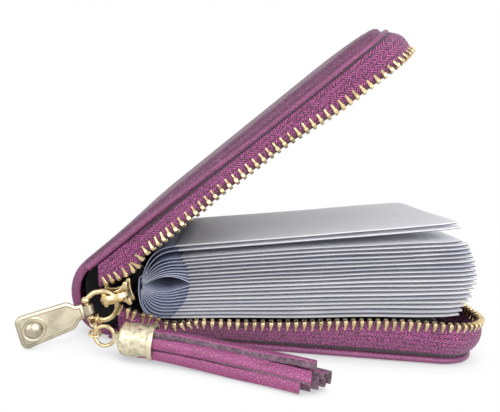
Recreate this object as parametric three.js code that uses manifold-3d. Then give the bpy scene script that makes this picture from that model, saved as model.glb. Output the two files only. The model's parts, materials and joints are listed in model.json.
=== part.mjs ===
// Zip-around card wallet with fanned sleeves, a slider with a pull tab, and a tassel on a short chain.
// Millimetres, +Z up, lower cover flat on z = 0, spine towards -X, front side towards -Y.
import * as THREE from "three";
import { mergeVertices } from "three/addons/utils/BufferGeometryUtils.js";
import Module from "manifold-3d";

const wasm = await Module();
wasm.setup();

// Case: two covers of leather, board and lining that turn about the closed end of the zip
const coverLeft = -50;
const coverLength = 104.5;
const coverDepth = 76;
const cornerRadius = 12;
const closedHeight = 26;
const leather = 1.2;
const board = 1.0;
const lining = 0.5;
const boardInset = 1.6;
const liningInset = 1.0;
const touch = 0.3;
const pipingRadius = 1.0;
const hingeInset = 2;
const openingAngle = 44;
const spineReach = 9;
const spineHollow = 3.4;

// Zip: each row starts beside the hinge, sags along the sides and stands tall at the open end
const toothPitch = 2.28;
const toothWidth = 1.15;
const toothLength = 2.6;
const toothThickness = 2.0;
const beadHeight = 1.1;
const tapeThickness = 0.6;
const tapeBulge = 0.5;
const tapeGap = 0.6;
const rowClearance = 0.45;
const rowStart = 3.7;
const leadRun = 16;
const sagStart = 18;
const sagEnd = 16.5;
const sagDepth = 4.4;
const mouthSag = 0.3;
const flareStart = 10;
const flareRun = 14;
const sideFlare = 4.6;
const endFlare = 2.9;
const walkSteps = 12;
const rearStopLength = 3;
const rearStopDepth = 2.4;
const rearStopHeight = 4;

// Sleeves: leaves that turn about their roots, held by a binding behind them
const sleeveCount = 20;
const sleeveThickness = 0.36;
const sleeveRootGap = 0.1;
const sleeveRoot = 6.5;
const sleeveCrease = 24;
const sleeveEndClear = 0.5;
const sleeveSideClear = 8;
const sleeveLowTurn = 5;
const sleeveTopTurn = 11;
const sleeveParts = 6;
const topSetback = 9;
const lowSetback = 5;
const bindingThickness = 0.7;
const bindingFoot = 6;
const bindingBend = 0.8;
const bindingMargin = 0.6;

// Slider, bail and ring
const sliderLength = 7.2;
const sliderGap = 0.5;
const sliderNarrow = 2.7;
const sliderWide = 4.2;
const sliderPlate = 1.0;
const sliderNose = 0.8;
const channelClear = 0.7;
const postRadius = 0.9;
const postInset = 1.4;
const bailWire = 0.5;
const bailInset = 1.05;
const bailSquareness = 0.35;
const ringRadius = 3.9;
const ringWire = 0.55;
const ringGap = 0.65;
const ringDrop = 2.4;

// Pull tab with a barrel round the ring and a dome on its face
const tabAngle = 200;
const tabLean = 25;
const tabLength = 17.8;
const tabThickness = 1.1;
const tabNeckLength = 3.2;
const tabNeckWidth = 3.4;
const tabShoulder = 2.2;
const tabWidth = 6.6;
const tabTipWidth = 7.8;
const tabCorner = 2.4;
const barrelClear = 0.45;
const barrelWall = 0.55;
const barrelLength = 2.2;
const domeRadius = 2.6;
const domeRim = 0.4;
const domeLedge = 0.36;
const domeRise = 1.1;
const domeInset = 3.7;

// Chain and tassel
const linkCount = 4;
const linkRadius = 1.4;
const linkWire = 0.32;
const linkSlack = 0.12;
const chainAngle = -112;
const chainHeading = -78;
const eyeRadius = 2.6;
const eyeWire = 0.5;
const lugGap = 0.2;
const lugClear = 0.4;
const lugWall = 0.6;
const lugWidth = 3.0;
const lugHeight = 1.8;
const capRadius = 4.6;
const capLength = 9.2;
const capWall = 0.5;
const capEnd = 0.9;
const capCrownShare = 0.62;
const capRoundShare = 0.9;
const capNeck = 1.9;
const capShoulder = 2.2;
const capLift = 0.2;
const tasselTurn = -7.2;
const fringeLength = 41;
const fringeGrip = 4;
const fringeTail = 0.6;
const stripWidth = 2.7;
const stripThickness = 1.0;
const laneSpread = 2.9;
const laneStep = 1.3;
const layerStep = 1.6;
const layerShift = 1.1;
const layerRise = 1.3;
const dropFrom = 0.12;
const dropRun = 0.67;

// Sizes that follow
const halfDepth = coverDepth / 2;
const coverRight = coverLeft + coverLength;
const hingeX = coverLeft + hingeInset;
const hingeZ = closedHeight / 2;
const boardBottom = leather + touch;
const liningBottom = boardBottom + board + touch;
const liningTop = liningBottom + lining;
const seamOffset = touch + pipingRadius;
const seamZ = liningTop;
const pipingZ = seamZ - touch - pipingRadius;
const tipZ = hingeZ - rowClearance;
const rowX = hingeX + rowStart;
const rowY = -halfDepth - seamOffset;
const sagX = hingeX + sagStart;
const sagEndX = coverRight - sagEnd;
const capAxisZ = capRadius + capLift;

const leatherSkin = new THREE.MeshStandardMaterial({ color: 0x8c3f74, roughness: 0.55 });
const leatherEdge = new THREE.MeshStandardMaterial({ color: 0xa45a90, roughness: 0.5 });
const boardStock = new THREE.MeshStandardMaterial({ color: 0x9a8f7d, roughness: 0.9 });
const blackCloth = new THREE.MeshStandardMaterial({ color: 0x18161a, roughness: 0.9 });
const tapeCloth = new THREE.MeshStandardMaterial({ color: 0x7d3a6c, roughness: 0.85 });
const goldMetal = new THREE.MeshStandardMaterial({ color: 0xcfae6b, metalness: 1, roughness: 0.3 });
const paleMetal = new THREE.MeshStandardMaterial({ color: 0xc9bb98, metalness: 1, roughness: 0.35 });
const sleeveFilm = new THREE.MeshStandardMaterial({ color: 0xc6c8d2, roughness: 0.4 });
const fanFilm = new THREE.MeshStandardMaterial({ color: 0x979cb4, roughness: 0.45 });
const suede = new THREE.MeshStandardMaterial({ color: 0x96507f, roughness: 0.8 });

const v2 = (x, y) => new THREE.Vector2(x, y);
const v3 = (x, y, z) => new THREE.Vector3(x, y, z);
const rad = (degrees) => (degrees * Math.PI) / 180;
const smooth = (t) => {
  const c = Math.min(Math.max(t, 0), 1);
  return c * c * (3 - 2 * c);
};

const wallet = new THREE.Group();
wallet.name = "card_wallet";

function addPart(name, geometry, material) {
  const mesh = new THREE.Mesh(geometry, material);
  mesh.name = name;
  wallet.add(mesh);
}

function signedVolume(geometry) {
  const p = geometry.attributes.position;
  const index = geometry.index.array;
  let total = 0;
  for (let k = 0; k < index.length; k += 3) {
    const [a, b, c] = [0, 1, 2].map((j) => v3().fromBufferAttribute(p, index[k + j]));
    total += a.dot(b.cross(c));
  }
  return total;
}

// A clean, indexed geometry that faces outwards
function faced(geometry) {
  geometry.deleteAttribute("normal");
  geometry.deleteAttribute("uv");
  const merged = mergeVertices(geometry, 1e-5);
  if (signedVolume(merged) < 0) {
    const index = merged.index.array;
    for (let k = 0; k < index.length; k += 3) {
      const kept = index[k];
      index[k] = index[k + 1];
      index[k + 1] = kept;
    }
  }
  merged.computeVertexNormals();
  return merged;
}

// Closed solid through sections of 2n points: n along one side, then n back along the other
function loft(sections) {
  const count = sections[0].length;
  const index = [];
  const quad = (a, b, c, d) => index.push(a, b, c, a, c, d);
  for (let i = 0; i + 1 < sections.length; i += 1) {
    for (let k = 0; k < count; k += 1) {
      const next = (k + 1) % count;
      quad(i * count + k, i * count + next, (i + 1) * count + next, (i + 1) * count + k);
    }
  }
  const last = (sections.length - 1) * count;
  for (let k = 0; k + 1 < count / 2; k += 1) {
    quad(k, count - 1 - k, count - 2 - k, k + 1);
    quad(last + k, last + k + 1, last + count - 2 - k, last + count - 1 - k);
  }
  const geometry = new THREE.BufferGeometry();
  const flat = sections.flat().flatMap((p) => [p.x, p.y, p.z]);
  geometry.setAttribute("position", new THREE.Float32BufferAttribute(flat, 3));
  geometry.setIndex(index);
  return faced(geometry);
}

function toManifold(geometry) {
  const clean = faced(geometry);
  return new wasm.Manifold(
    new wasm.Mesh({
      numProp: 3,
      vertProperties: new Float32Array(clean.attributes.position.array),
      triVerts: new Uint32Array(clean.index.array),
    }),
  );
}

function fromManifold(solid) {
  const mesh = solid.getMesh();
  const geometry = new THREE.BufferGeometry();
  geometry.setAttribute("position", new THREE.Float32BufferAttribute(mesh.vertProperties, mesh.numProp));
  geometry.setIndex(Array.from(mesh.triVerts));
  return faced(geometry);
}

function joined(geometries) {
  return fromManifold(geometries.map(toManifold).reduce((sum, next) => sum.add(next)));
}

// A line in the XZ plane, thickened and drawn out along Y to both sides
function strip(points, thickness, halfWidth) {
  const upper = [];
  const lower = [];
  points.forEach((p, k) => {
    const before = points[Math.max(k - 1, 0)];
    const after = points[Math.min(k + 1, points.length - 1)];
    const along = v2().subVectors(after, before).normalize();
    const side = v2(-along.y, along.x).multiplyScalar(thickness / 2);
    upper.push(p.clone().add(side));
    lower.push(p.clone().sub(side));
  });
  const outline = [...upper, ...lower.reverse()];
  return loft([-halfWidth, halfWidth].map((y) => outline.map((p) => v3(p.x, y, p.y))));
}

// A round wire along given points, with a fixed side direction
function wire(points, radius, side, corners = 8) {
  const sections = points.map((p, k) => {
    const before = points[Math.max(k - 1, 0)];
    const after = points[Math.min(k + 1, points.length - 1)];
    const along = v3().subVectors(after, before).normalize();
    const across = side.clone().addScaledVector(along, -side.dot(along)).normalize();
    const third = v3().crossVectors(along, across);
    return Array.from({ length: corners }, (_, j) => {
      const a = (2 * Math.PI * (j + 0.5)) / corners;
      const round = p.clone().addScaledVector(across, radius * Math.cos(a));
      return round.addScaledVector(third, radius * Math.sin(a));
    });
  });
  return loft(sections);
}

// Edge of the cover: front side, right end and back side
const frontRun = coverLength - cornerRadius;
const arcRun = (Math.PI / 2) * cornerRadius;
const endRun = coverDepth - 2 * cornerRadius;
const edgeRun = 2 * frontRun + 2 * arcRun + endRun;

function edgeAt(s) {
  const back = s > edgeRun / 2;
  const t = back ? edgeRun - s : s;
  let x = coverLeft + t;
  let y = -halfDepth;
  let nx = 0;
  let ny = -1;
  if (t > frontRun && t <= frontRun + arcRun) {
    const a = (t - frontRun) / cornerRadius;
    nx = Math.sin(a);
    ny = -Math.cos(a);
    x = coverRight - cornerRadius + cornerRadius * nx;
    y = -halfDepth + cornerRadius + cornerRadius * ny;
  } else if (t > frontRun + arcRun) {
    x = coverRight;
    y = -halfDepth + cornerRadius + (t - frontRun - arcRun);
    nx = 1;
    ny = 0;
  }
  return { x, y: back ? -y : y, nx, ny: back ? -ny : ny, t };
}

// Stations along the edge: a given step on the sides, and even shares of the corners and the end
function edgeStations(sideStep) {
  const sideParts = Math.ceil(frontRun / sideStep);
  const [arcParts, endParts] = [6, 6];
  const stretches = [
    [frontRun, sideParts], [arcRun, arcParts], [endRun, endParts], [arcRun, arcParts], [frontRun, sideParts],
  ];
  const marks = [0];
  for (const [run, parts] of stretches) {
    const from = marks[marks.length - 1];
    for (let j = 1; j <= parts; j += 1) marks.push(from + (run * j) / parts);
  }
  return marks;
}

// Seam and tooth tip of the tape at a run s along the edge
function tapeAt(s) {
  const e = edgeAt(s);
  const settle = mouthSag + (1 - mouthSag) * smooth((e.x - rowX) / (sagX - rowX));
  const recover = 1 - smooth((e.x - sagX) / (sagEndX - sagX));
  const sag = e.x < sagX ? settle : recover;
  const lead = (rowX - coverLeft) * (1 - smooth(e.t / leadRun));
  const lean = recover * smooth((e.x - hingeX - flareStart) / flareRun);
  const open = smooth((e.x - sagX) / (coverRight - cornerRadius - sagX));
  const out = seamOffset + endFlare * open + sideFlare * lean;
  const seam = v3(e.x + e.nx * seamOffset, e.y + e.ny * seamOffset, seamZ);
  const tip = v3(e.x + lead + e.nx * out, e.y + e.ny * out, tipZ - sagDepth * sag);
  const rise = v3().subVectors(tip, seam).normalize();
  const along = v3(-e.ny, e.nx, 0);
  const outward = v3().crossVectors(along, rise).normalize();
  if (outward.x * e.nx + outward.y * e.ny < 0) outward.negate();
  return { seam, tip, rise, outward };
}

function coverOutline(inset) {
  const r = cornerRadius - inset;
  const right = coverRight - inset;
  const side = halfDepth - inset;
  const left = coverLeft + inset;
  const shape = new THREE.Shape();
  shape.moveTo(left, -side);
  shape.lineTo(right - r, -side);
  shape.absarc(right - r, -side + r, r, -Math.PI / 2, 0, false);
  shape.lineTo(right, side - r);
  shape.absarc(right - r, side - r, r, 0, Math.PI / 2, false);
  shape.lineTo(left, side);
  shape.closePath();
  return shape;
}

function coverPlate(inset, bottom, thickness) {
  const options = { depth: thickness, bevelEnabled: false, curveSegments: 8 };
  return faced(new THREE.ExtrudeGeometry(coverOutline(inset), options).translate(0, 0, bottom));
}

function pipingCord() {
  const points = edgeStations(frontRun / 4).map((s) => {
    const e = edgeAt(s);
    return v3(e.x + e.nx * seamOffset, e.y + e.ny * seamOffset, pipingZ);
  });
  return wire(points, pipingRadius, v3(0, 0, 1));
}

function zipTape() {
  const levels = [0, 0.35, 0.7, 1];
  const sections = edgeStations(2 * toothPitch).map((s) => {
    const t = tapeAt(s);
    const reach = t.tip.distanceTo(t.seam) - toothLength - tapeGap;
    const face = (sign) =>
      levels.map((u) => {
        const out = tapeBulge * Math.sin(Math.PI * u) + (sign * tapeThickness) / 2;
        return t.seam.clone().addScaledVector(t.rise, u * reach).addScaledVector(t.outward, out);
      });
    return [...face(1), ...face(-1).reverse()];
  });
  return loft(sections);
}

// The run along the edge where the tooth tips have moved on by a given distance
function walk(s, distance) {
  const from = tapeAt(s).tip;
  let next = s + distance;
  for (let k = 0; k < walkSteps; k += 1) {
    next += distance - tapeAt(next).tip.distanceTo(from);
  }
  return Math.min(next, edgeRun);
}

// Teeth stand on a bead along the tape's edge: two tall sections for a tooth, a low one in the gap
function toothRow() {
  const section = (s, height, thickness) => {
    const t = tapeAt(s);
    const half = thickness / 2;
    return [[0, half], [height, half], [height, -half], [0, -half]].map(([up, out]) =>
      t.tip.clone().addScaledVector(t.rise, up - toothLength).addScaledVector(t.outward, out),
    );
  };
  const low = (s) => section(s, beadHeight, beadHeight);
  const tall = (s) => section(s, toothLength, toothThickness);
  const halfGap = (toothPitch - toothWidth) / 2;
  const sections = [low(0)];
  let s = walk(0, halfGap);
  while (s < edgeRun - toothPitch) {
    const end = walk(s, toothWidth);
    const middle = walk(end, halfGap);
    sections.push(tall(s), tall(end), low(middle));
    s = walk(middle, halfGap);
  }
  sections.push(low(edgeRun));
  return loft(sections);
}

// The upper half is the lower one mirrored at the hinge's height and swung open
const mirror = new THREE.Matrix4().makeScale(1, 1, -1).setPosition(0, 0, closedHeight);
const swing = new THREE.Matrix4()
  .makeTranslation(hingeX, 0, hingeZ)
  .multiply(new THREE.Matrix4().makeRotationY(-rad(openingAngle)))
  .multiply(new THREE.Matrix4().makeTranslation(-hingeX, 0, -hingeZ));
const upper = (geometry) => faced(geometry.clone().applyMatrix4(mirror).applyMatrix4(swing));

const halves = {
  cover_leather: [coverPlate(0, 0, leather), leatherSkin],
  cover_board: [coverPlate(boardInset, boardBottom, board), boardStock],
  cover_lining: [coverPlate(liningInset, liningBottom, lining), blackCloth],
  piping: [pipingCord(), leatherEdge],
  zip_tape: [zipTape(), tapeCloth],
  zip_teeth: [toothRow(), goldMetal],
};
for (const [name, [geometry, material]] of Object.entries(halves)) {
  addPart(`bottom_${name}`, geometry, material);
  addPart(`top_${name}`, upper(geometry), material);
}

// Spine: from the lower cover's edge, round the back, to the swung cover's edge
const swung = (x, z) => {
  const p = v3(x, 0, closedHeight - z).applyMatrix4(swing);
  return v2(p.x, p.z);
};
function spineLine(level, reach) {
  const edge = coverLeft - touch;
  const pulls = [v2(edge - reach, level), swung(edge - reach, level)];
  return new THREE.CubicBezierCurve(v2(edge, level), ...pulls, swung(edge, level)).getPoints(12);
}
addPart("spine_leather", strip(spineLine(leather / 2, spineReach), leather, halfDepth), leatherSkin);
const spineLiningLine = spineLine(liningBottom + lining / 2, spineReach - spineHollow);
addPart("spine_lining", strip(spineLiningLine, lining, halfDepth - liningInset), blackCloth);

// Sleeves: flat and parallel when shut, each turned about its own root when the cover is open
const sleeveHalfWidth = halfDepth - sleeveSideClear;
const sleeveRootX = hingeX + sleeveRoot;
const sleeveCreaseX = hingeX + sleeveCrease;
const sleeveLength = coverRight - sleeveEndClear - sleeveCreaseX;
const sleeveRootPitch = sleeveThickness + sleeveRootGap;
const shutLow = liningTop + touch + sleeveThickness / 2;
const shutPitch = (closedHeight - 2 * shutLow) / (sleeveCount - 1);
for (let i = 0; i < sleeveCount; i += 1) {
  const rank = i / (sleeveCount - 1);
  const spread = 2 * rank - 1;
  const setback = (spread > 0 ? topSetback : lowSetback) * spread * spread;
  const root = v2(sleeveRootX, hingeZ + (i - (sleeveCount - 1) / 2) * sleeveRootPitch);
  const crease = v2(sleeveCreaseX - setback, shutLow + i * shutPitch);
  const line = [];
  for (let k = 0; k <= sleeveParts; k += 1) {
    const t = k / sleeveParts;
    line.push(v2(root.x + (crease.x - root.x) * t, root.y + (crease.y - root.y) * smooth(t)));
  }
  line.push(v2(crease.x + sleeveLength, crease.y));
  const turn = sleeveLowTurn + (sleeveTopTurn - sleeveLowTurn) * rank;
  const turned = line.map((p) => p.clone().rotateAround(root, rad(turn)));
  const name = `sleeve_${String(i + 1).padStart(2, "0")}`;
  addPart(name, strip(turned, sleeveThickness, sleeveHalfWidth), sleeveFilm);
}

// Binding strip behind the sleeves' roots, with a foot on the lining
const bindingX = sleeveRootX - touch - bindingThickness / 2;
const bindingTop = hingeZ + (sleeveCount / 2) * sleeveRootPitch + bindingMargin;
const bindingZ = liningTop + touch + bindingThickness / 2;
const bindingLine = [
  v2(bindingX - bindingFoot, bindingZ),
  v2(bindingX - bindingBend, bindingZ),
  v2(bindingX, bindingZ + bindingBend),
  v2(bindingX, bindingTop),
];
addPart("sleeve_binding", strip(bindingLine, bindingThickness, sleeveHalfWidth), fanFilm);

// Stop that holds both tapes together at the rear end of the zip
const rearStop = new THREE.BoxGeometry(rearStopLength, rearStopDepth, rearStopHeight);
addPart("zip_rear_stop", faced(rearStop.translate(hingeX, -rowY, hingeZ)), goldMetal);

// Slider: two plates and the post between the rows
const sliderRight = rowX - sliderGap;
const sliderLeft = sliderRight - sliderLength;
const sliderChannel = toothThickness + 2 * channelClear;
const sliderFrontY = rowY - sliderChannel / 2 - sliderPlate;
const sliderBackY = rowY + sliderChannel / 2;
function sliderPlateAt(y) {
  const middle = (sliderLeft + sliderRight) / 2;
  const waist = sliderRight - sliderNose;
  const shape = new THREE.Shape();
  shape.moveTo(sliderLeft, -sliderNarrow);
  shape.lineTo(middle, -sliderNarrow);
  shape.quadraticCurveTo(waist, -sliderNarrow, sliderRight, -sliderWide);
  shape.quadraticCurveTo(waist + 2 * sliderNose, 0, sliderRight, sliderWide);
  shape.quadraticCurveTo(waist, sliderNarrow, middle, sliderNarrow);
  shape.lineTo(sliderLeft, sliderNarrow);
  shape.quadraticCurveTo(sliderLeft - sliderNose, 0, sliderLeft, -sliderNarrow);
  const options = { depth: sliderPlate, bevelEnabled: false, curveSegments: 4 };
  const plate = new THREE.ExtrudeGeometry(shape, options);
  return plate.rotateX(Math.PI / 2).translate(0, y + sliderPlate, hingeZ);
}
const post = new THREE.CylinderGeometry(postRadius, postRadius, sliderChannel + sliderPlate, 8);
post.translate(sliderRight - postInset, rowY, hingeZ);
addPart("slider_body", joined([sliderPlateAt(sliderFrontY), sliderPlateAt(sliderBackY), post]), goldMetal);

const bailBackY = sliderFrontY - touch;
const bailReach = 2 * (ringGap + ringWire) + bailWire;
const bailLength = sliderLength - 2 * bailInset;
const bailX = (sliderLeft + sliderRight) / 2;
const bailLine = [];
for (let k = 0; k <= 10; k += 1) {
  const t = k / 10;
  const reach = bailReach * Math.pow(Math.sin(Math.PI * t), bailSquareness);
  bailLine.push(v3(bailX + bailLength * (t - 0.5), bailBackY - reach, hingeZ));
}
addPart("slider_bail", wire(bailLine, bailWire, v3(0, 0, 1)), goldMetal);

// Ring through the bail
const ringReach = Math.sqrt(ringRadius ** 2 - ringDrop ** 2);
const ringCentre = v3(bailX - ringReach, bailBackY - ringGap - ringWire, hingeZ - ringDrop);
const ring = new THREE.TorusGeometry(ringRadius, ringWire, 8, 28).rotateX(Math.PI / 2);
addPart("pull_ring", faced(ring.translate(ringCentre.x, ringCentre.y, ringCentre.z)), goldMetal);

// Pull tab on the ring's left side, leaning towards the front
const tabRadial = v3(Math.cos(rad(tabAngle)), 0, Math.sin(rad(tabAngle)));
const tabRoot = ringCentre.clone().addScaledVector(tabRadial, ringRadius);
const tabAlong = tabRadial.clone().multiplyScalar(Math.cos(rad(tabLean)));
tabAlong.y = -Math.sin(rad(tabLean));
const tabAcross = v3(-tabRadial.z, 0, tabRadial.x);
const tabFace = v3().crossVectors(tabAlong, tabAcross);
const tabFrame = new THREE.Matrix4().makeBasis(tabAlong, tabAcross, tabFace).setPosition(tabRoot);
const barrelInner = ringWire + barrelClear;
const barrelOuter = barrelInner + barrelWall;
function tabOutline() {
  const shoulder = tabNeckLength + tabShoulder;
  const [neck, side, tip] = [tabNeckWidth / 2, tabWidth / 2, tabTipWidth / 2];
  const shape = new THREE.Shape();
  shape.moveTo(barrelInner + barrelWall / 2, -neck);
  shape.lineTo(tabNeckLength, -neck);
  shape.quadraticCurveTo(tabNeckLength + tabShoulder / 2, -side, shoulder, -side);
  shape.lineTo(tabLength - tabCorner, -tip);
  shape.quadraticCurveTo(tabLength, -tip, tabLength, tabCorner - tip);
  shape.lineTo(tabLength, tip - tabCorner);
  shape.quadraticCurveTo(tabLength, tip, tabLength - tabCorner, tip);
  shape.lineTo(shoulder, side);
  shape.quadraticCurveTo(tabNeckLength + tabShoulder / 2, side, tabNeckLength, neck);
  shape.lineTo(barrelInner + barrelWall / 2, neck);
  shape.closePath();
  return shape;
}
const tabOptions = { depth: tabThickness, bevelEnabled: false, curveSegments: 5 };
const tabPlate = new THREE.ExtrudeGeometry(tabOutline(), tabOptions);
tabPlate.translate(0, 0, -tabThickness / 2);
const barrel = toManifold(new THREE.CylinderGeometry(barrelOuter, barrelOuter, barrelLength, 16));
const bore = toManifold(new THREE.CylinderGeometry(barrelInner, barrelInner, 4 * barrelLength, 16));
const tabSolid = fromManifold(barrel.add(toManifold(tabPlate)).subtract(bore));
addPart("pull_tab", faced(tabSolid.applyMatrix4(tabFrame)), paleMetal);

const domeProfile = [v2(0, 0), v2(domeRadius, 0), v2(domeRadius, domeRim)];
for (let k = 0; k <= 4; k += 1) {
  const a = (Math.PI / 2) * (k / 4);
  domeProfile.push(v2((domeRadius - domeLedge) * Math.cos(a), domeRim + domeRise * Math.sin(a)));
}
domeProfile[domeProfile.length - 1].x = 0;
const dome = new THREE.LatheGeometry(domeProfile, 20).rotateX(tabFace.y < 0 ? Math.PI / 2 : -Math.PI / 2);
dome.translate(tabLength - domeInset, 0, -Math.sign(tabFace.y) * (tabThickness / 2 + touch));
addPart("pull_tab_dome", faced(dome.applyMatrix4(tabFrame)), paleMetal);

// Chain from the foot of the ring to the tassel's eye, which lies at the height of the cap's axis
const footRadial = v3(Math.cos(rad(chainAngle)), 0, Math.sin(rad(chainAngle)));
const footTangent = v3(-footRadial.z, 0, footRadial.x);
const ringFoot = ringCentre.clone().addScaledVector(footRadial, ringRadius);
const linkHole = linkRadius - linkWire;
const firstOffset = linkHole - ringWire - linkSlack;
const lastOffset = linkHole - eyeWire - linkSlack;
const linkPitch = 2 * linkHole - linkSlack;
const chainRun = firstOffset + lastOffset + (linkCount - 1) * linkPitch;
const chainDrop = ringFoot.z - capAxisZ;
const chainOut = Math.sqrt(chainRun ** 2 - chainDrop ** 2);
const chainX = chainOut * Math.cos(rad(chainHeading));
const chainY = chainOut * Math.sin(rad(chainHeading));
const chainAlong = v3(chainX, chainY, -chainDrop);
chainAlong.normalize();
const tasselAlong = v3(Math.cos(rad(tasselTurn)), Math.sin(rad(tasselTurn)), 0);
const tasselSide = v3(-tasselAlong.y, tasselAlong.x, 0);
const chainEnd = ringFoot.clone().addScaledVector(chainAlong, chainRun);
const eyeCentre = chainEnd.clone().addScaledVector(tasselAlong, eyeRadius);

// Each link is turned on from the one before, so that the first fits the ring and the last fits the eye
const firstFace = footTangent.clone().addScaledVector(chainAlong, -footTangent.dot(chainAlong)).normalize();
const firstSide = v3().crossVectors(chainAlong, firstFace);
const eyeTurn = Math.atan2(firstSide.z, firstFace.z);
const halfTurns = Math.round((eyeTurn - (linkCount - 1) * (Math.PI / 2)) / Math.PI);
const linkTurn = (eyeTurn - halfTurns * Math.PI) / (linkCount - 1);
for (let k = 0; k < linkCount; k += 1) {
  const centre = ringFoot.clone().addScaledVector(chainAlong, firstOffset + k * linkPitch);
  const face = firstFace.clone().multiplyScalar(Math.cos(k * linkTurn));
  face.addScaledVector(firstSide, Math.sin(k * linkTurn));
  const third = v3().crossVectors(face, chainAlong);
  const link = new THREE.TorusGeometry(linkRadius, linkWire, 6, 16);
  link.applyMatrix4(new THREE.Matrix4().makeBasis(chainAlong, third, face).setPosition(centre));
  addPart(`chain_link_${k + 1}`, faced(link), goldMetal);
}

// Tassel's eye, which runs through the lug of the cap
const eye = new THREE.TorusGeometry(eyeRadius, eyeWire, 8, 22);
const eyeFrame = new THREE.Matrix4().makeBasis(tasselAlong, v3(0, 0, 1), tasselSide.clone().negate());
addPart("tassel_eye", faced(eye.applyMatrix4(eyeFrame.setPosition(eyeCentre))), goldMetal);

const lugX = eyeWire - lugGap;
const lugHoleRadius = eyeWire + lugClear;
const lugLeft = lugX - lugHoleRadius - lugWall;
const lugLength = capNeck + capEnd / 2 - lugLeft;
const capBack = eyeCentre.clone().addScaledVector(tasselAlong, eyeRadius - lugX);
const capFrame = new THREE.Matrix4().makeBasis(tasselAlong, tasselSide, v3(0, 0, 1)).setPosition(capBack);
const capInner = capRadius - capWall;
const capProfile = [
  v2(0, 0), v2(capCrownShare * capRadius, 0), v2(capRoundShare * capRadius, capShoulder / 3),
  v2(capRadius, capShoulder), v2(capRadius, capLength), v2(capInner, capLength), v2(capInner, capShoulder),
  v2(capCrownShare * capInner, capEnd), v2(0, capEnd),
];
const capCup = new THREE.LatheGeometry(capProfile, 28).rotateZ(-Math.PI / 2).translate(capNeck, 0, 0);
const lug = new THREE.BoxGeometry(lugLength, lugWidth, lugHeight).translate(lugLeft + lugLength / 2, 0, 0);
const lugHole = new THREE.CylinderGeometry(lugHoleRadius, lugHoleRadius, 4 * lugHeight, 12);
lugHole.rotateX(Math.PI / 2).translate(lugX, 0, 0);
const capSolid = toManifold(capCup).add(toManifold(lug)).subtract(toManifold(lugHole));
addPart("tassel_cap", faced(fromManifold(capSolid).applyMatrix4(capFrame)), goldMetal);

// Fringe: a core in the cap and three layers of three strips that fall to the table and spread
const coreRadius = capInner - touch;
const coreStart = capNeck + capShoulder + touch;
const coreLength = capNeck + capLength - fringeTail - coreStart;
const core = new THREE.CylinderGeometry(coreRadius, coreRadius, coreLength, 20).rotateZ(-Math.PI / 2);
core.translate(coreStart + coreLength / 2, 0, 0);
const stripStart = capNeck + capLength - fringeGrip;
const layerStart = coreRadius / 2;
const laneRoom = Math.sqrt(coreRadius ** 2 - (layerStart + stripThickness / 2) ** 2);
const laneStart = laneRoom - stripWidth / 2;
function fringeStrip(lane, layer) {
  const restZ = stripThickness / 2 + capLift + (layer + 1) * layerRise - capAxisZ;
  const length = fringeLength - layerStep * (layer + 1) + laneStep * lane;
  const sections = [0, 0.15, 0.35, 0.6, 1].map((t) => {
    const drop = smooth((t - dropFrom) / dropRun);
    const y = lane * (laneStart + laneSpread * smooth(t)) + layer * layerShift * t;
    const z = layer * layerStart * (1 - drop) + restZ * drop;
    return [[1, 1], [-1, 1], [-1, -1], [1, -1]].map(([a, b]) =>
      v3(stripStart + t * length, y + (a * stripWidth) / 2, z + (b * stripThickness) / 2),
    );
  });
  return loft(sections);
}
const strips = [-1, 0, 1].flatMap((layer) => [-1, 0, 1].map((lane) => fringeStrip(lane, layer)));
addPart("tassel_fringe", faced(joined([core, ...strips]).applyMatrix4(capFrame)), suede);

export default wallet;
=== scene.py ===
import json
import math

import bmesh
import bpy
from bpy.props import FloatProperty, FloatVectorProperty, PointerProperty
from mathutils import Matrix, Vector, noise


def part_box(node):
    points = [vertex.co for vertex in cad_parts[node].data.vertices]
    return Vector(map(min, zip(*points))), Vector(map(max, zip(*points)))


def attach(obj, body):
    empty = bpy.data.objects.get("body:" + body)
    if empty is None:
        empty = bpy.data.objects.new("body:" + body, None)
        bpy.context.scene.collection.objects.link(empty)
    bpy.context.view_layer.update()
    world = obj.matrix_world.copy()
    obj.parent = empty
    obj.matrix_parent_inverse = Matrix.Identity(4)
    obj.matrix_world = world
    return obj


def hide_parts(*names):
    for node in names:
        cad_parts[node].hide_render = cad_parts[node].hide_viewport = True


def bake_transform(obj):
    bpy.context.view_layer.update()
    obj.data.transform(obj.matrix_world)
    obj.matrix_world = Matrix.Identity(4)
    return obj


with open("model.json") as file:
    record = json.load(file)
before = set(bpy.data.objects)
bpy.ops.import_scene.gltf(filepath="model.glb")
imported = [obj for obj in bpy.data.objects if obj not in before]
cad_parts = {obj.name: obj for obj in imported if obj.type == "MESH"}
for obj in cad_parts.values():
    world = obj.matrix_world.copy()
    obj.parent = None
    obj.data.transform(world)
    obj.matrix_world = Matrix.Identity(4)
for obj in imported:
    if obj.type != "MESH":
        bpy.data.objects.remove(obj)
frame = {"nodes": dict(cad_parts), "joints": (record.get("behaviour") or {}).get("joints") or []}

bl_info = {
    "name": "Card wallet",
    "version": (1, 0, 0),
    "blender": (4, 5, 0),
    "location": "View3D > Sidebar > Wallet",
    "description": "Leather, zip, sleeves and tassel of a zip-around card wallet",
    "category": "Object",
}

# Units, axes and places read from the frame
MM = 0.001
X, Y, Z = (Vector(axis) for axis in ((1, 0, 0), (0, 1, 0), (0, 0, 1)))
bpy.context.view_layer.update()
JOINTS = {joint["name"]: joint for joint in frame["joints"]}
HINGE = Vector(JOINTS["cover_swing"]["pos_m"])
OPENING = -math.radians(JOINTS["cover_swing"]["range_deg"][0])
COVER_LOW, COVER_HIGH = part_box("bottom_cover_leather")
LINING_LOW, LINING_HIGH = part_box("bottom_cover_lining")
PIPING_LOW, PIPING_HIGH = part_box("bottom_piping")
SLEEVES = sorted(name for name in frame["nodes"] if name.startswith("sleeve_") and name[-1].isdigit())

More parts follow.
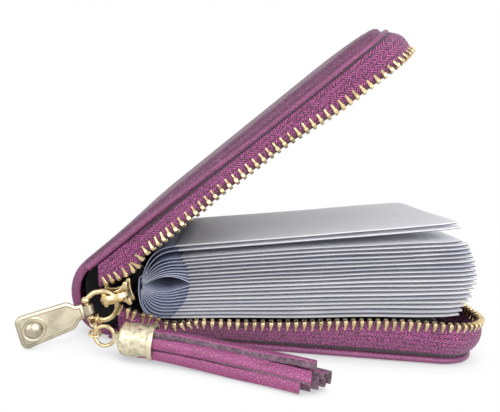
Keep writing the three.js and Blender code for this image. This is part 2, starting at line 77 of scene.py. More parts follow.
# The cover's edge, and the thickness of its leather
HALF_DEPTH = COVER_HIGH.y
CORNER = 12 * MM
SIDE_RUN = COVER_HIGH.x - COVER_LOW.x - CORNER
ARC_RUN = CORNER * math.pi / 2
END_RUN = 2 * (HALF_DEPTH - CORNER)
EDGE_RUN = 2 * (SIDE_RUN + ARC_RUN) + END_RUN
LEATHER = 1.2 * MM

# The zip's rows
PIPING_RADIUS = (PIPING_HIGH.z - PIPING_LOW.z) / 2
PIPING_Z = (PIPING_LOW.z + PIPING_HIGH.z) / 2
SEAM_OFFSET = PIPING_HIGH.y - HALF_DEPTH - PIPING_RADIUS
SEAM_Z = LINING_HIGH.z
TIP_Z = HINGE.z - 0.45 * MM
ROW_X = HINGE.x + 3.7 * MM
LEAD_RUN = 16 * MM
SAG_X = HINGE.x + 18 * MM
SAG_END_X = COVER_HIGH.x - 16.5 * MM
SAG_DEPTH = 4.4 * MM
MOUTH_SAG = 0.3
FLARE_X = HINGE.x + 10 * MM
FLARE_RUN = 14 * MM
SIDE_FLARE = 4.6 * MM
END_FLARE = 2.9 * MM
TAPE_START = 3 * MM
CLOSE_PITCH = 1.9 * MM

# How the rows hang beside the sag: (x, further from the cover), mm
HANG = {
    "bottom": [(-46, -2.0), (-41, -3.0), (-36, -2.4), (-25, 0.6), (2, 0.4), (44, 0.3), (56, 0.1)],
    "top": [(-46, -0.8), (-38, 0.3), (-30, 1.6), (-16, 0.9), (-6, 0.0), (14, -1.0), (33, -0.3), (56, 0.0)],
}
# The rows' ends in the slider: direction for each millimetre, and length
LEAD_WAY = {"bottom": Vector((-1, 0, 0.39)), "top": Vector((-1, 0, -0.26))}
LEAD_LENGTH = {"bottom": 4 * MM, "top": 7 * MM}

# Where the sleeves' margins end, from the hinge
BEND = 18.5 * MM

# The upper half is the lower one mirrored at the hinge's height and swung open
UPPER = (
    Matrix.Translation(HINGE)
    @ Matrix.Rotation(-OPENING, 4, "Y")
    @ Matrix.Scale(-1, 4, (0, 0, 1))
    @ Matrix.Translation(-HINGE)
)
HALVES = {"bottom": ("lower_case", Matrix.Identity(4)), "top": ("upper_case", UPPER)}

# The camera's sensor, mm, and the width of the picture in pixels
SENSOR, PICTURE_WIDTH = 36.0, 500

# Strips of the fringe, from cap to end: levels and depths in mm, rolls in degrees, length in mm
STRIPS = [
    ((2.8, 3.2), (-1.0, -1.6), (95, 98), 44.4),
    ((0.65, 0.6), (-2.5, -2.9), (12, 48), 43.4),
    ((-2.3, -2.7), (-1.9, -2.6), (-12, 4), 41.0),
    ((1.3, 0.3), (0.4, 0.6), (100, 115), 46.5),
    ((-0.9, -1.2), (-0.6, -0.6), (150, 190), 45.4),
    ((-2.6, -2.7), (0.6, 0.2), (95, 85), 43.6),
    ((0.6, -0.6), (2.2, 1.8), (150, 165), 48.4),
    ((-1.6, -2.0), (2.0, 1.9), (95, 130), 47.2),
]


def smooth(t):
    t = min(max(t, 0.0), 1.0)
    return t * t * (3 - 2 * t)


def mix(a, b, t):
    return a + (b - a) * t


def edge_at(run):
    """Place, outward direction and run from the near end of a point on the cover's edge."""
    back = run > EDGE_RUN / 2
    t = EDGE_RUN - run if back else run
    place = Vector((COVER_LOW.x + t, -HALF_DEPTH, 0))
    out = Vector((0, -1, 0))
    if t > SIDE_RUN + ARC_RUN:
        place = Vector((COVER_HIGH.x, CORNER - HALF_DEPTH + t - SIDE_RUN - ARC_RUN, 0))
        out = Vector((1, 0, 0))
    elif t > SIDE_RUN:
        turn = (t - SIDE_RUN) / CORNER
        out = Vector((math.sin(turn), -math.cos(turn), 0))
        place = Vector((COVER_HIGH.x - CORNER, CORNER - HALF_DEPTH, 0)) + out * CORNER
    if back:
        place.y, out.y = -place.y, -out.y
    return place, out, t


def edge_stations(side_step, arc_parts, end_parts):
    """Runs along the edge: a step on the sides, and even shares of the corners and the end."""
    side_parts = math.ceil(SIDE_RUN / side_step)
    marks = [0.0]
    for run, parts in [
        (SIDE_RUN, side_parts), (ARC_RUN, arc_parts), (END_RUN, end_parts),
        (ARC_RUN, arc_parts), (SIDE_RUN, side_parts),
    ]:
        start = marks[-1]
        marks += [start + run * (k + 1) / parts for k in range(parts)]
    return marks


def hang(half, x):
    """How much further than its sag a row stands from its cover at x."""
    marks = HANG[half]
    for (x0, z0), (x1, z1) in zip(marks, marks[1:]):
        if x < x1 * MM:
            return mix(z0, z1, smooth((x / MM - x0) / (x1 - x0))) * MM
    return marks[-1][1] * MM


def tape_at(run, half):
    """Seam, tooth tip, rise and outward direction of the zip tape at a run along the edge."""
    place, out, t = edge_at(run)
    settle = MOUTH_SAG + (1 - MOUTH_SAG) * smooth((place.x - ROW_X) / (SAG_X - ROW_X))
    recover = 1 - smooth((place.x - SAG_X) / (SAG_END_X - SAG_X))
    sag = settle if place.x < SAG_X else recover
    lead = (ROW_X - COVER_LOW.x) * (1 - smooth(t / LEAD_RUN))
    lean = recover * smooth((place.x - FLARE_X) / FLARE_RUN)
    opened = smooth((place.x - SAG_X) / (COVER_HIGH.x - CORNER - SAG_X))
    flare = END_FLARE * opened + SIDE_FLARE * lean
    seam = place + out * SEAM_OFFSET + Vector((0, 0, SEAM_Z))
    tip = place + out * (SEAM_OFFSET + flare) + Vector((lead, 0, TIP_Z - SAG_DEPTH * sag))
    tip.z += hang(half, tip.x)
    rise = (tip - seam).normalized()
    outward = Vector((-out.y, out.x, 0)).cross(rise).normalized()
    if outward.dot(out) < 0:
        outward.negate()
    return seam, tip, rise, outward


def rear_end(half):
    """Where a row's rear end meets the stop, in the lower half's place."""
    low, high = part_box("zip_rear_stop")
    middle = (low + high) / 2
    if half == "bottom":
        return Vector((middle.x, middle.y, low.z))
    return UPPER.inverted() @ Vector((middle.x, middle.y, high.z))


def piping_shift(half, x):
    """How far the piping stands from the middle of the cover's edge, towards the inside."""
    if half == "bottom":
        return PIPING_RADIUS * 1.1 + 0.1 * MM - PIPING_Z
    return mix(0.1, 1.3, smooth((x + 35 * MM) / (50 * MM))) * MM


def walk(run, distance, half):
    """The run where the tooth tips have moved on by a distance."""
    start = tape_at(run, half)[1]
    ahead = run + distance
    for _ in range(12):
        ahead += distance - (tape_at(ahead, half)[1] - start).length
    return min(ahead, EDGE_RUN)


def bezier(a, b, c, d, count):
    """Points of a cubic curve, ends included."""
    points = []
    for k in range(count + 1):
        t = k / count
        s = 1 - t
        points.append(a * s**3 + b * (3 * s * s * t) + c * (3 * s * t * t) + d * t**3)
    return points


def math_node(operation, swapped=False):
    """A method that puts a Math node behind a wire."""

    def method(self, other=0.0):
        first, second = (other, self) if swapped else (self, other)
        return self.paint.node("Math", {"operation": operation}, {0: first, 1: second})

    return method


class Wire:
    """A node's output that can stand in an expression."""

    def __init__(self, paint, socket):
        self.paint, self.socket = paint, socket

    __add__ = math_node("ADD")
    __radd__ = math_node("ADD", swapped=True)
    __sub__ = math_node("SUBTRACT")
    __rsub__ = math_node("SUBTRACT", swapped=True)
    __mul__ = math_node("MULTIPLY")
    __rmul__ = math_node("MULTIPLY", swapped=True)
    __truediv__ = math_node("DIVIDE")
    __abs__ = math_node("ABSOLUTE")
    fract = math_node("FRACT")
    sine = math_node("SINE")
    above = math_node("GREATER_THAN")

    def ramp(self, low, high):
        """0 below low, 1 above high, smooth between."""
        settings = {"interpolation_type": "SMOOTHSTEP", "clamp": True}
        return self.paint.node("MapRange", settings, {"Value": self, "From Min": low, "From Max": high})


class Paint:
    """The node tree of a new material, or of a given owner, under construction."""

    def __init__(self, name, owner=None):
        self.owner = owner or bpy.data.materials.new(name)
        self.owner.use_nodes = True
        self.tree = self.owner.node_tree
        self.tree.nodes.clear()

    def node(self, kind, settings=None, inputs=None, output=0):
        made = self.tree.nodes.new("ShaderNode" + kind)
        for key, value in (settings or {}).items():
            setattr(made, key, value)
        for key, value in (inputs or {}).items():
            if isinstance(value, Wire):
                self.tree.links.new(value.socket, made.inputs[key])
            else:
                made.inputs[key].default_value = value
        return Wire(self, made.outputs[output]) if made.outputs else None

    def attribute(self, name):
        return self.node("Attribute", {"attribute_name": name}, output="Fac")

    def texture(self, kind, settings, **inputs):
        place = self.node("TexCoord", output="Object")
        return self.node(kind, settings, {"Vector": place, **inputs})

    def noise(self, scale, detail):
        return self.texture("TexNoise", {}, Scale=scale, Detail=detail)

    def cells(self, scale, feature="DISTANCE_TO_EDGE"):
        return self.texture("TexVoronoi", {"feature": feature}, Scale=scale)

    def blend(self, low, high, factor):
        """Mix of two colours, each a tuple or a wire."""
        low, high = [each if isinstance(each, Wire) else (*each, 1) for each in (low, high)]
        settings = {"data_type": "RGBA", "clamp_factor": True}
        return self.node("Mix", settings, {"Factor": factor, 6: low, 7: high}, output=2)

    def bump(self, height, distance, strength=1.0):
        inputs = {"Height": height, "Distance": distance, "Strength": strength}
        return self.node("Bump", {}, inputs)

    def seen(self):
        """1 for rays that reach the camera straight, mirrored or let through."""
        kinds = ("Camera", "Glossy", "Transmission")
        rays = [self.node("LightPath", output=f"Is {kind} Ray") for kind in kinds]
        seen = rays[0]
        for ray in rays[1:]:
            seen = seen + ray - seen * ray
        return seen

    def finish(self, **sockets):
        inputs = {key.replace("_", " "): value for key, value in sockets.items()}
        shader = self.node("BsdfPrincipled", {}, inputs)
        self.node("OutputMaterial", {}, {"Surface": shader})
        return self.owner


def tone(colour, share):
    return tuple(min(channel * share, 1.0) for channel in colour)


def grained_leather(name, colour, pebble, shine=0.34):
    """Pearly leather with a pebble grain."""
    paint = Paint(name)
    edges = paint.cells(1 / pebble)
    pebbles = edges.ramp(0.02, 0.28)
    fine = paint.noise(2.2 / pebble, 3.0)
    patches = paint.noise(160.0, 3.0)
    low = paint.blend(tone(colour, 0.6), colour, pebbles)
    # Lighter patches: random tone of the leather and painted mottled highlights of its pearly sheen
    body = paint.blend(low, tone(colour, 1.35), patches.ramp(0.4, 0.8) * 0.25)
    creases = paint.noise(300.0, 2.0)
    height = pebbles * 0.7 + fine * 0.4 + creases * 4.0
    return paint.finish(
        Base_Color=body,
        Roughness=shine + 0.22 * (1 - pebbles) + 0.1 * patches,
        Metallic=0.18,
        Coat_Weight=0.2,
        Coat_Roughness=0.3,
        Normal=paint.bump(height, 0.14 * MM, 0.8),
    )


def woven_tape(name, colour):
    """Twill zip tape: threads that slant the other way in each next column, and a cord at the edge."""
    paint = Paint(name)
    loose = paint.noise(420.0, 2.0) - 0.5
    across, cord = paint.attribute("across") * 1000, paint.attribute("cord")
    along = paint.attribute("run") * 1000 + loose * 0.9
    column = across / 1.35 + loose * 0.7
    side = (column * 0.5).fract().above(0.5) * 2 - 1
    slant = (column.fract() - 0.5) * side
    phase = along / 0.85 + slant * 1.9
    ridge = abs((phase * math.pi).sine())
    gap = abs(column.fract() - 0.5).ramp(0.5, 0.32)
    fuzz = paint.noise(1900.0, 3.0)
    thread = ridge.ramp(0.35, 0.95) * (0.25 + 0.75 * gap)
    lit = thread * (0.1 + 1.5 * fuzz.ramp(0.35, 0.65)) * (1 - 0.75 * cord)
    woven = paint.blend(tone(colour, 0.22), tone(colour, 2.1), lit)
    # Painted shade: the tape is painted dark along the seam, standing for the shadow under the piping; it
    # fades out towards the slider
    clear = across.ramp(0.9, 1.9) + cord + along.ramp(26.0, 8.0)
    body = paint.blend(tone(colour, 0.12), woven, clear.ramp(0.0, 1.0))
    return paint.finish(
        Base_Color=body,
        Roughness=0.62,
        Sheen_Weight=0.2,
        Sheen_Roughness=0.4,
        Normal=paint.bump(thread + fuzz * 0.5, 0.25 * MM, 0.9),
    )


def polished_metal(name, colour, roughness, dark_reflection_tone):
    """Plated metal with faint scratches, and broad random patches painted darker as painted reflections."""
    paint = Paint(name)
    fine = paint.noise(1500.0, 3.0)
    broad = paint.noise(260.0, 2.0)
    # Painted reflection: broad random patches of darker colour stand for dark reflections
    body = paint.blend(tone(colour, dark_reflection_tone), colour, broad.ramp(0.25, 0.6))
    return paint.finish(
        Base_Color=body,
        Metallic=1.0,
        Roughness=roughness + 0.16 * fine,
        Normal=paint.bump(fine, 0.02 * MM, 0.4),
    )


def hammered_metal(name, colour):
    """Matt plated metal with fine hammer marks."""
    paint = Paint(name)
    marks = paint.cells(900.0, "F1")
    grit = paint.noise(2600.0, 3.0)
    body = paint.blend(tone(colour, 0.6), tone(colour, 1.1), marks.ramp(0.1, 0.7) * 0.6 + grit * 0.4)
    return paint.finish(
        Base_Color=body,
        Metallic=1.0,
        Roughness=0.36 + 0.2 * grit,
        Normal=paint.bump(marks + grit * 0.5, 0.1 * MM, 0.6),
    )


def black_lining(name, colour):
    """Fine plain-woven lining."""
    paint = Paint(name)
    weave = paint.cells(2400.0, "F1")
    slub = paint.noise(180.0, 3.0)
    body = paint.blend(tone(colour, 0.5), tone(colour, 2.2), weave.ramp(0.2, 0.8) * slub)
    return paint.finish(
        Base_Color=body, Roughness=0.8, Normal=paint.bump(weave, 0.05 * MM, 0.6)
    )


def fibre_board(name, colour):
    """Grey board, which only shows at a cut."""
    paint = Paint(name)
    fibres = paint.noise(900.0, 4.0)
    body = paint.blend(tone(colour, 0.7), tone(colour, 1.2), fibres)
    return paint.finish(Base_Color=body, Roughness=0.95, Normal=paint.bump(fibres, 0.05 * MM))


def frosted_film(name, colour, margin):
    """Sleeve film that lets light through: milky over the pocket, bluish in the margin at the spine."""
    paint = Paint(name)
    shadow = (0.035, 0.03, 0.07)
    cloud = paint.noise(90.0, 3.0)
    scuff = paint.noise(900.0, 3.0)
    tint = (paint.attribute("sheet") * 37.7).sine() * 0.5 + 0.5
    body = paint.blend(margin, colour, paint.attribute("pocket"))
    body = paint.blend(body, tone(margin, 0.8), tint.ramp(0.72, 0.95) * 0.4)
    body = paint.blend(body, tone(colour, 1.15), cloud.ramp(0.5, 0.8) * 0.5)
    body = paint.blend(body, shadow, paint.attribute("shade") * 0.9)
    inputs = {
        "Base Color": body,
        "Roughness": 0.25 + 0.25 * scuff,
        "Specular IOR Level": 0.55,
        "Normal": paint.bump(cloud, 0.25 * MM, 0.4),
    }
    surface = paint.node("BsdfPrincipled", {}, inputs)
    through = paint.node("BsdfTranslucent", {}, {"Color": body})
    shader = paint.node("MixShader", {}, {0: 0.32, 1: surface, 2: through})
    paint.node("OutputMaterial", {}, {"Surface": shader})
    return paint.owner


def suede_back(name, colour):
    """Napped flesh side of the strips."""
    paint = Paint(name)
    nap = paint.noise(1300.0, 4.0)
    patch = paint.noise(420.0, 3.0)
    pile = nap.ramp(0.3, 0.7) * 0.6 + patch.ramp(0.3, 0.7) * 0.4
    body = paint.blend(tone(colour, 0.35), tone(colour, 1.7), pile)
    return paint.finish(
        Base_Color=body, Roughness=0.92, Sheen_Weight=0.3, Normal=paint.bump(nap, 0.12 * MM, 0.8)
    )


class Loft:
    """A mesh drawn out from one section to the next, with named values at its points."""

    def __init__(self, *values, bm=None):
        self.bm = bm or bmesh.new()
        self.layers = [self.bm.verts.layers.float.new(name) for name in values]

    def sweep(self, sections, values=None, closed=True, caps=True):
        """Extrudes the first section through the others. values(i, k) gives the named values."""
        bm = self.bm
        ring = [bm.verts.new(point) for point in sections[0]]
        pairs = list(zip(ring, ring[1:] + ring[:1])) if closed else list(zip(ring, ring[1:]))
        edges = [bm.edges.new(pair) for pair in pairs]
        first = list(edges)
        self._mark(ring, 0, values)
        for i, points in enumerate(sections[1:], 1):
            made = bmesh.ops.extrude_edge_only(bm, edges=edges)["geom"]
            fresh = {v for v in made if isinstance(v, bmesh.types.BMVert)}
            ring = [next(v for v in (e.other_vert(o) for e in o.link_edges) if v in fresh) for o in ring]
            edges = [e for e in made if isinstance(e, bmesh.types.BMEdge) and set(e.verts) <= fresh]
            for vert, point in zip(ring, points):
                vert.co = point
            self._mark(ring, i, values)
        if caps and closed:
            bmesh.ops.contextual_create(bm, geom=first)
            bmesh.ops.contextual_create(bm, geom=edges)
        return self

    def _mark(self, ring, i, values):
        if values:
            for k, vert in enumerate(ring):
                for layer, value in zip(self.layers, values(i, k)):
                    vert[layer] = value


def heading(line, k):
    """Direction of a line at its point k."""
    return (line[min(k + 1, len(line) - 1)] - line[max(k - 1, 0)]).normalized()


def circle(corners):
    """Cosine and sine of even turns."""
    turns = [2 * math.pi * k / corners for k in range(corners)]
    return [(math.cos(turn), math.sin(turn)) for turn in turns]


def tube(points, radius, side, corners=12):
    """Sections of a round wire along points; radius is a number or a function of the share along."""
    sections = []
    for k, point in enumerate(points):
        along = heading(points, k)
        across = (side - along * side.dot(along)).normalized()
        third = along.cross(across)
        size = radius(k / (len(points) - 1)) if callable(radius) else radius
        sections.append([point + (across * c + third * s) * size for c, s in circle(corners)])
    return sections


def ring_tube(points, radius, axis, corners=12):
    """Sections of a closed wire loop in the plane across an axis."""
    sections = []
    for k, point in enumerate(points):
        third = (points[(k + 1) % len(points)] - points[k - 1]).normalized().cross(axis)
        sections.append([point + (axis * c + third * s) * radius for c, s in circle(corners)])
    return sections + sections[:1]


def make_piece(bm, name, *looks, sharp=42, place=None):
    """A finished object from a bmesh, placed by its vertices, with its materials by name."""
    bmesh.ops.remove_doubles(bm, verts=bm.verts, dist=1e-7)
    if place is not None:
        bmesh.ops.transform(bm, matrix=place, verts=bm.verts)
    bmesh.ops.recalc_face_normals(bm, faces=bm.faces)
    mesh = bpy.data.meshes.new(name)
    bm.to_mesh(mesh)
    bm.free()
    mesh.shade_smooth()
    mesh.set_sharp_from_angle(angle=math.radians(sharp))
    for each in looks:
        mesh.materials.append(look(each))
    piece = bpy.data.objects.new(name, mesh)
    bpy.context.scene.collection.objects.link(piece)
    return piece


def dress(piece, body, slot, *nodes):
    """Lets a piece ride on a body and stand for CAD nodes."""
    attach(piece, body)
    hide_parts(*nodes)


def dress_row(piece, half, slot, node):
    """Dresses one half of the zip. The ends of the upper half stay at the slider and the stop."""
    if half == "bottom":
        dress(piece, "lower_case", slot, node)
        return
    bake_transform(piece)
    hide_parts(node)


def paint_node(node, name):
    """Gives a CAD node that stays in view the material of that name."""
    mesh = frame["nodes"][node].data
    mesh.materials.clear()
    mesh.materials.append(look(name))


def colour_setting(label, description, *default):
    return FloatVectorProperty(name=label, description=description, subtype="COLOR", default=default)


def number_setting(label, description, default, unit="NONE"):
    return FloatProperty(name=label, description=description, default=default, unit=unit, precision=5)


class WalletColours(bpy.types.PropertyGroup):
    """Colours of the wallet's materials."""

    leather: colour_setting("Leather", "Grained cover leather", 0.168, 0.045, 0.117)
    # The piping is the cover's leather; its lighter colour is a painted highlight along the rolled edge
    piping: colour_setting("Piping", "Rolled edge round the covers", 0.26, 0.062, 0.172)
    tape: colour_setting("Zip tape", "Woven tape of the zip", 0.25, 0.045, 0.158)
    gold: colour_setting("Gold", "Teeth, stop, slider, ring and chain", 0.70, 0.55, 0.31)
    champagne: colour_setting("Champagne", "Pull tab", 0.50, 0.445, 0.335)
    cap: colour_setting("Cap", "Hammered cap of the tassel", 0.74, 0.665, 0.485)
    film: colour_setting("Film", "Sleeve pockets", 0.91, 0.91, 0.94)
    margin: colour_setting("Margin", "Sleeve margins beside the spine", 0.60, 0.64, 0.80)
    lining: colour_setting("Lining", "Inside of the covers", 0.012, 0.012, 0.014)
    board: colour_setting("Board", "Stiffening board", 0.33, 0.28, 0.21)
    strips: colour_setting("Strips", "Grain side of the fringe", 0.38, 0.085, 0.235)
    suede: colour_setting("Suede", "Back of the fringe", 0.14, 0.082, 0.115)


class WalletView(bpy.types.PropertyGroup):
    """Camera that looks at the wallet."""

    azimuth: number_setting("Azimuth", "Turn round the wallet, degrees", -2.55)
    elevation: number_setting("Elevation", "Height over the table, degrees", 5.99)
    roll: number_setting("Roll", "Tilt of the picture, degrees", 5.36)
    distance: number_setting("Distance", "From the target", 0.190, "LENGTH")
    target: FloatVectorProperty(
        name="Target", description="Point in the middle of the picture", default=(-0.0127, 0, 0.0362)
    )
    lens: number_setting("Lens", "Focal length in pixels of a 500 pixel frame", 552.5)


class WalletSizes(bpy.types.PropertyGroup):
    """Sizes of details that the frame leaves open."""

    pebble: number_setting("Pebble", "Leather grain", 0.9 * MM, "LENGTH")
    tooth_pitch: number_setting("Tooth pitch", "From tooth to tooth", 2.28 * MM, "LENGTH")
    crown: number_setting("Crown", "Padding of the upper cover", 1.5 * MM, "LENGTH")
    tassel_turn: number_setting("Tassel turn", "Heading of the tassel, degrees", -7.2)


# How each material is made from its name, the colours and the size of a pebble
LOOKS = {
    "pearly_leather": lambda name, hues, pebble: grained_leather(name, hues.leather, pebble),
    "piping_leather": lambda name, hues, pebble: grained_leather(name, hues.piping, pebble * 0.7, 0.22),
    "strip_grain": lambda name, hues, pebble: grained_leather(name, hues.strips, 0.7 * MM, 0.26),
    "strip_suede": lambda name, hues, pebble: suede_back(name, hues.suede),
    "zip_tape_twill": lambda name, hues, pebble: woven_tape(name, hues.tape),
    "gold_plate": lambda name, hues, pebble: polished_metal(name, hues.gold, 0.16, 0.55),
    "champagne_plate": lambda name, hues, pebble: polished_metal(name, hues.champagne, 0.24, 0.7),
    "hammered_cap": lambda name, hues, pebble: hammered_metal(name, hues.cap),
    "black_lining": lambda name, hues, pebble: black_lining(name, hues.lining),
    "grey_board": lambda name, hues, pebble: fibre_board(name, hues.board),
    "frosted_film": lambda name, hues, pebble: frosted_film(name, hues.film, hues.margin),
}


def look(name):
    """The material of that name, made on its first use."""
    scene = bpy.context.scene
    made = bpy.data.materials.get(name)
    return made or LOOKS[name](name, scene.wallet_colours, scene.wallet_sizes.pebble)


class WALLET_OT_covers(bpy.types.Operator):
    """Leather covers with rolled rims, their boards and linings"""

    bl_idname = "wallet.covers"
    bl_label = "Covers"

    def execute(self, context):
        for half, (body, place) in HALVES.items():
            crown = context.scene.wallet_sizes.crown if half == "top" else 0.0
            sections = [self.section(run, crown, half) for run in edge_stations(3 * MM, 12, 12)]
            bm = Loft().sweep(sections, closed=False).bm
            bmesh.ops.remove_doubles(bm, verts=bm.verts, dist=1e-6)
            bmesh.ops.holes_fill(bm, edges=[e for e in bm.edges if e.is_boundary])
            cover = make_piece(bm, f"{half}_leather_cover", "pearly_leather", place=place, sharp=75)
            dress(cover, body, "cover_leather", f"{half}_cover_leather")
            paint_node(f"{half}_cover_board", "grey_board")
            paint_node(f"{half}_cover_lining", "black_lining")
        return {"FINISHED"}

    def section(self, run, crown, half):
        """Line from the middle of the inner face over the rim to the middle of the outer face."""
        spot, out, _ = edge_at(run)
        middle = Vector((min(spot.x, COVER_HIGH.x - HALF_DEPTH / 2), 0, 0))
        inner = [middle.lerp(spot, share) + Z * LEATHER for share in (0, 0.5, 0.9)]
        # The rim as (inset, height), mm; its crest, over the base, follows the piping
        base = 1.5
        rim = [
            (1.3, 1.2), (0.95, 1.3), (0.85, 2.3), (0.65, 2.6), (0.2, 2.65), (-0.35, 2.45),
            (-0.55, 1.8), (-0.3, 1.1), (0.25, 0.55), (1.0, 0.22), (1.8, 0.05), (3.0, 0.0),
        ]
        raised = max(piping_shift(half, spot.x), 0.0) / MM
        rim = [(inset, height + raised if height > base else height) for inset, height in rim]
        line = inner + [spot + (Z * height - out * inset) * MM for inset, height in rim]
        line += [middle.lerp(spot, share) for share in (0.84, 0.72, 0.56, 0.38, 0.2, 0)]
        # The crown lifts what lies between the rim's foot and the middle of the outer face
        foot = len(inner) + 8
        fade = smooth((spot.x - COVER_LOW.x) / (30 * MM))
        for point in line[foot:]:
            reach = (point - middle).length / (spot - middle).length
            point.z -= crown * (1 - reach**2.4) * fade
        return line


class WALLET_OT_piping(bpy.types.Operator):
    """Rolled leather piping round both covers"""

    bl_idname = "wallet.piping"
    bl_label = "Piping"

    def execute(self, context):
        for half, (body, place) in HALVES.items():
            points = []
            for run in edge_stations(2.5 * MM, 12, 14):
                spot, out, _ = edge_at(run)
                wander = 0.12 * MM * noise.noise(Vector((run * 60, 3.1, 0)))
                level = PIPING_Z + piping_shift(half, spot.x)
                points.append(spot + out * (SEAM_OFFSET + wander) + Z * level)
            bm = Loft().sweep(tube(points, self.radius_at, Z, 16)).bm
            piping = make_piece(bm, f"{half}_rolled_piping", "piping_leather", place=place)
            dress(piping, body, "edge_leather", f"{half}_piping")
        return {"FINISHED"}

    def radius_at(self, t):
        """Radius at a share of the run, a little uneven."""
        return PIPING_RADIUS * (1.0 + 0.05 * noise.noise(Vector((t * 90, 0.4, 1.7))))


class WALLET_OT_zip_tapes(bpy.types.Operator):
    """Woven tapes with a cord along the edge that carries the teeth"""

    bl_idname = "wallet.zip_tapes"
    bl_label = "Zip tapes"

    def execute(self, context):
        for half, (_, place) in HALVES.items():
            tape = make_piece(self.weave(half).bm, f"{half}_woven_tape", "zip_tape_twill", place=place)
            dress_row(tape, half, "tape", f"{half}_zip_tape")
        return {"FINISHED"}

    def weave(self, half):
        """A bulging band from the seam to the teeth, with a cord along its free edge."""
        bare, thickness, bulge, cord, flap_step = 1.15 * MM, 0.6 * MM, 0.5 * MM, 0.62 * MM, 0.6 * MM
        lower, fuller, full_x = 1.0 * MM, 1.0 * MM, 25 * MM
        levels = [k / 8 for k in range(9)]
        order = levels + levels[::-1]
        lead = LEAD_LENGTH[half]
        flap, runs = 6, edge_stations(1.6 * MM, 14, 26)
        sections, reaches, cords = [], [], []
        for k in range(-flap, len(runs) + flap):
            past = max(k - len(runs) + 1, 0)
            seam, tip, rise, outward = tape_at(runs[min(max(k, 0), len(runs) - 1)], half)
            tip = tip.lerp(rear_end(half), past / flap)
            full = bulge + fuller * smooth((seam.x - full_x) / full_x)
            seam.x = max(seam.x, COVER_LOW.x + TAPE_START + 0.04 * MM * (k if k < flap else -past))
            seam.z -= lower if half == "bottom" else 0.0
            tip = tip + LEAD_WAY[half] * lead * max(-k, 0) / flap
            rise = (tip - seam).normalized()
            reach = (tip - seam).length - bare
            faces = []
            for sign, steps in ((1, levels), (-1, levels[::-1])):
                for level in steps:
                    out = full * math.sin(math.pi * level) + sign * thickness / 2
                    faces.append(seam + rise * level * reach + outward * out)
            sections.append(faces)
            reaches.append(reach)
            cords.append(tip - rise * bare)
        runs = [-lead * (flap - k) / flap for k in range(flap)] + runs
        runs += [EDGE_RUN + flap_step * (k + 1) for k in range(flap)]
        loft = Loft("run", "across", "cord")
        loft.sweep(sections, lambda i, k: (runs[i], order[k] * reaches[i], smooth(order[k] * 8 - 7)))
        return loft.sweep(tube(cords, cord, Z, 8), lambda i, k: (runs[i], (0.7 + 0.4 * k) * MM, 1.0))


def tooth_shape(width, thickness, length):
    """One zip tooth, standing on its legs, with a wider rounded head."""
    bm = bmesh.new()
    bmesh.ops.create_cube(bm, size=1)
    bmesh.ops.scale(bm, vec=(width, thickness, length), verts=bm.verts)
    uprights = [e for e in bm.edges if abs(e.verts[0].co.z - e.verts[1].co.z) > length / 2]
    bmesh.ops.subdivide_edges(bm, edges=uprights, cuts=3)
    for vert in bm.verts:
        height = vert.co.z / length + 0.5
        vert.co.x *= 0.6 + 0.5 * smooth((height - 0.4) / 0.3) - 0.3 * smooth((height - 0.85) / 0.15)
        vert.co.y *= 0.8 + 0.2 * smooth((height - 0.4) / 0.3) - 0.25 * smooth((height - 0.85) / 0.15)
    bmesh.ops.bevel(
        bm, geom=list(bm.edges), offset=0.17 * MM, segments=1, affect="EDGES", profile=0.5, material=-1
    )
    shape = bpy.data.meshes.new("tooth")
    bm.to_mesh(shape)
    bm.free()
    return shape


class WALLET_OT_zip_teeth(bpy.types.Operator):
    """Metal teeth along both tapes"""

    bl_idname = "wallet.zip_teeth"
    bl_label = "Zip teeth"

    def execute(self, context):
        width, thickness, length = 1.15 * MM, 2.1 * MM, 3.1 * MM
        pitch = context.scene.wallet_sizes.tooth_pitch
        shape = tooth_shape(width, thickness, length)
        for half, (_, place) in HALVES.items():
            bm = bmesh.new()
            for spot in self.places(half, pitch, length):
                count = len(bm.verts)
                bm.from_mesh(shape)
                bm.verts.ensure_lookup_table()
                bmesh.ops.transform(bm, matrix=spot, verts=bm.verts[count:])
            teeth = make_piece(bm, f"{half}_metal_teeth", "gold_plate", place=place, sharp=30)
            dress_row(teeth, half, "gold", f"{half}_zip_teeth")
        bpy.data.meshes.remove(shape)
        paint_node("zip_rear_stop", "gold_plate")
        return {"FINISHED"}

    def places(self, half, pitch, length):
        """Where the teeth stand: upright on the row, and closer together at its ends."""
        rows, first = [], 0.9 * MM
        run = walk(0, pitch / 2, half)
        while run < EDGE_RUN - pitch / 2:
            _, tip, rise, outward = tape_at(run, half)
            along = tape_at(min(run + MM, EDGE_RUN), half)[1] - tape_at(max(run - MM, 0), half)[1]
            rows.append((tip, rise - along * rise.dot(along) / along.length_squared, outward))
            run = walk(run, pitch, half)
        _, tip, _, outward = tape_at(0, half)
        way = LEAD_WAY[half]
        count = int(LEAD_LENGTH[half] / CLOSE_PITCH)
        for k in range(count):
            spot = tip + way * (k * CLOSE_PITCH + first)
            rows.append((spot, Vector((way.z * (k + 0.2) / count, 0, 1)), outward))
        _, tip, rise, outward = tape_at(EDGE_RUN, half)
        gap = rear_end(half) - tip
        upright = rise - gap * rise.dot(gap) / gap.length_squared
        count = int(gap.length / CLOSE_PITCH)
        rows += [(tip + gap * (k + 0.5) / count, upright, outward) for k in range(count)]
        spots = []
        for tip, rise, outward in rows:
            rise = rise.normalized()
            outward = (outward - rise * outward.dot(rise)).normalized()
            turn = Matrix((outward.cross(rise), outward, rise)).transposed().to_4x4()
            spots.append(Matrix.Translation(tip - rise * length / 2) @ turn)
        return spots


def spine_line(level, reach, count):
    """The spine's curve at a depth under the outer face, from the lower to the upper cover."""
    edge = COVER_LOW.x
    near, pull = Vector((edge, 0, level)), Vector((edge - reach, 0, level))
    return bezier(near, pull, UPPER @ pull, UPPER @ near, count)


def turned_inward(line, k):
    """Direction across a line in the XZ plane, towards the inside of the spine's bend."""
    along = heading(line, k)
    return Vector((along.z, 0, -along.x))


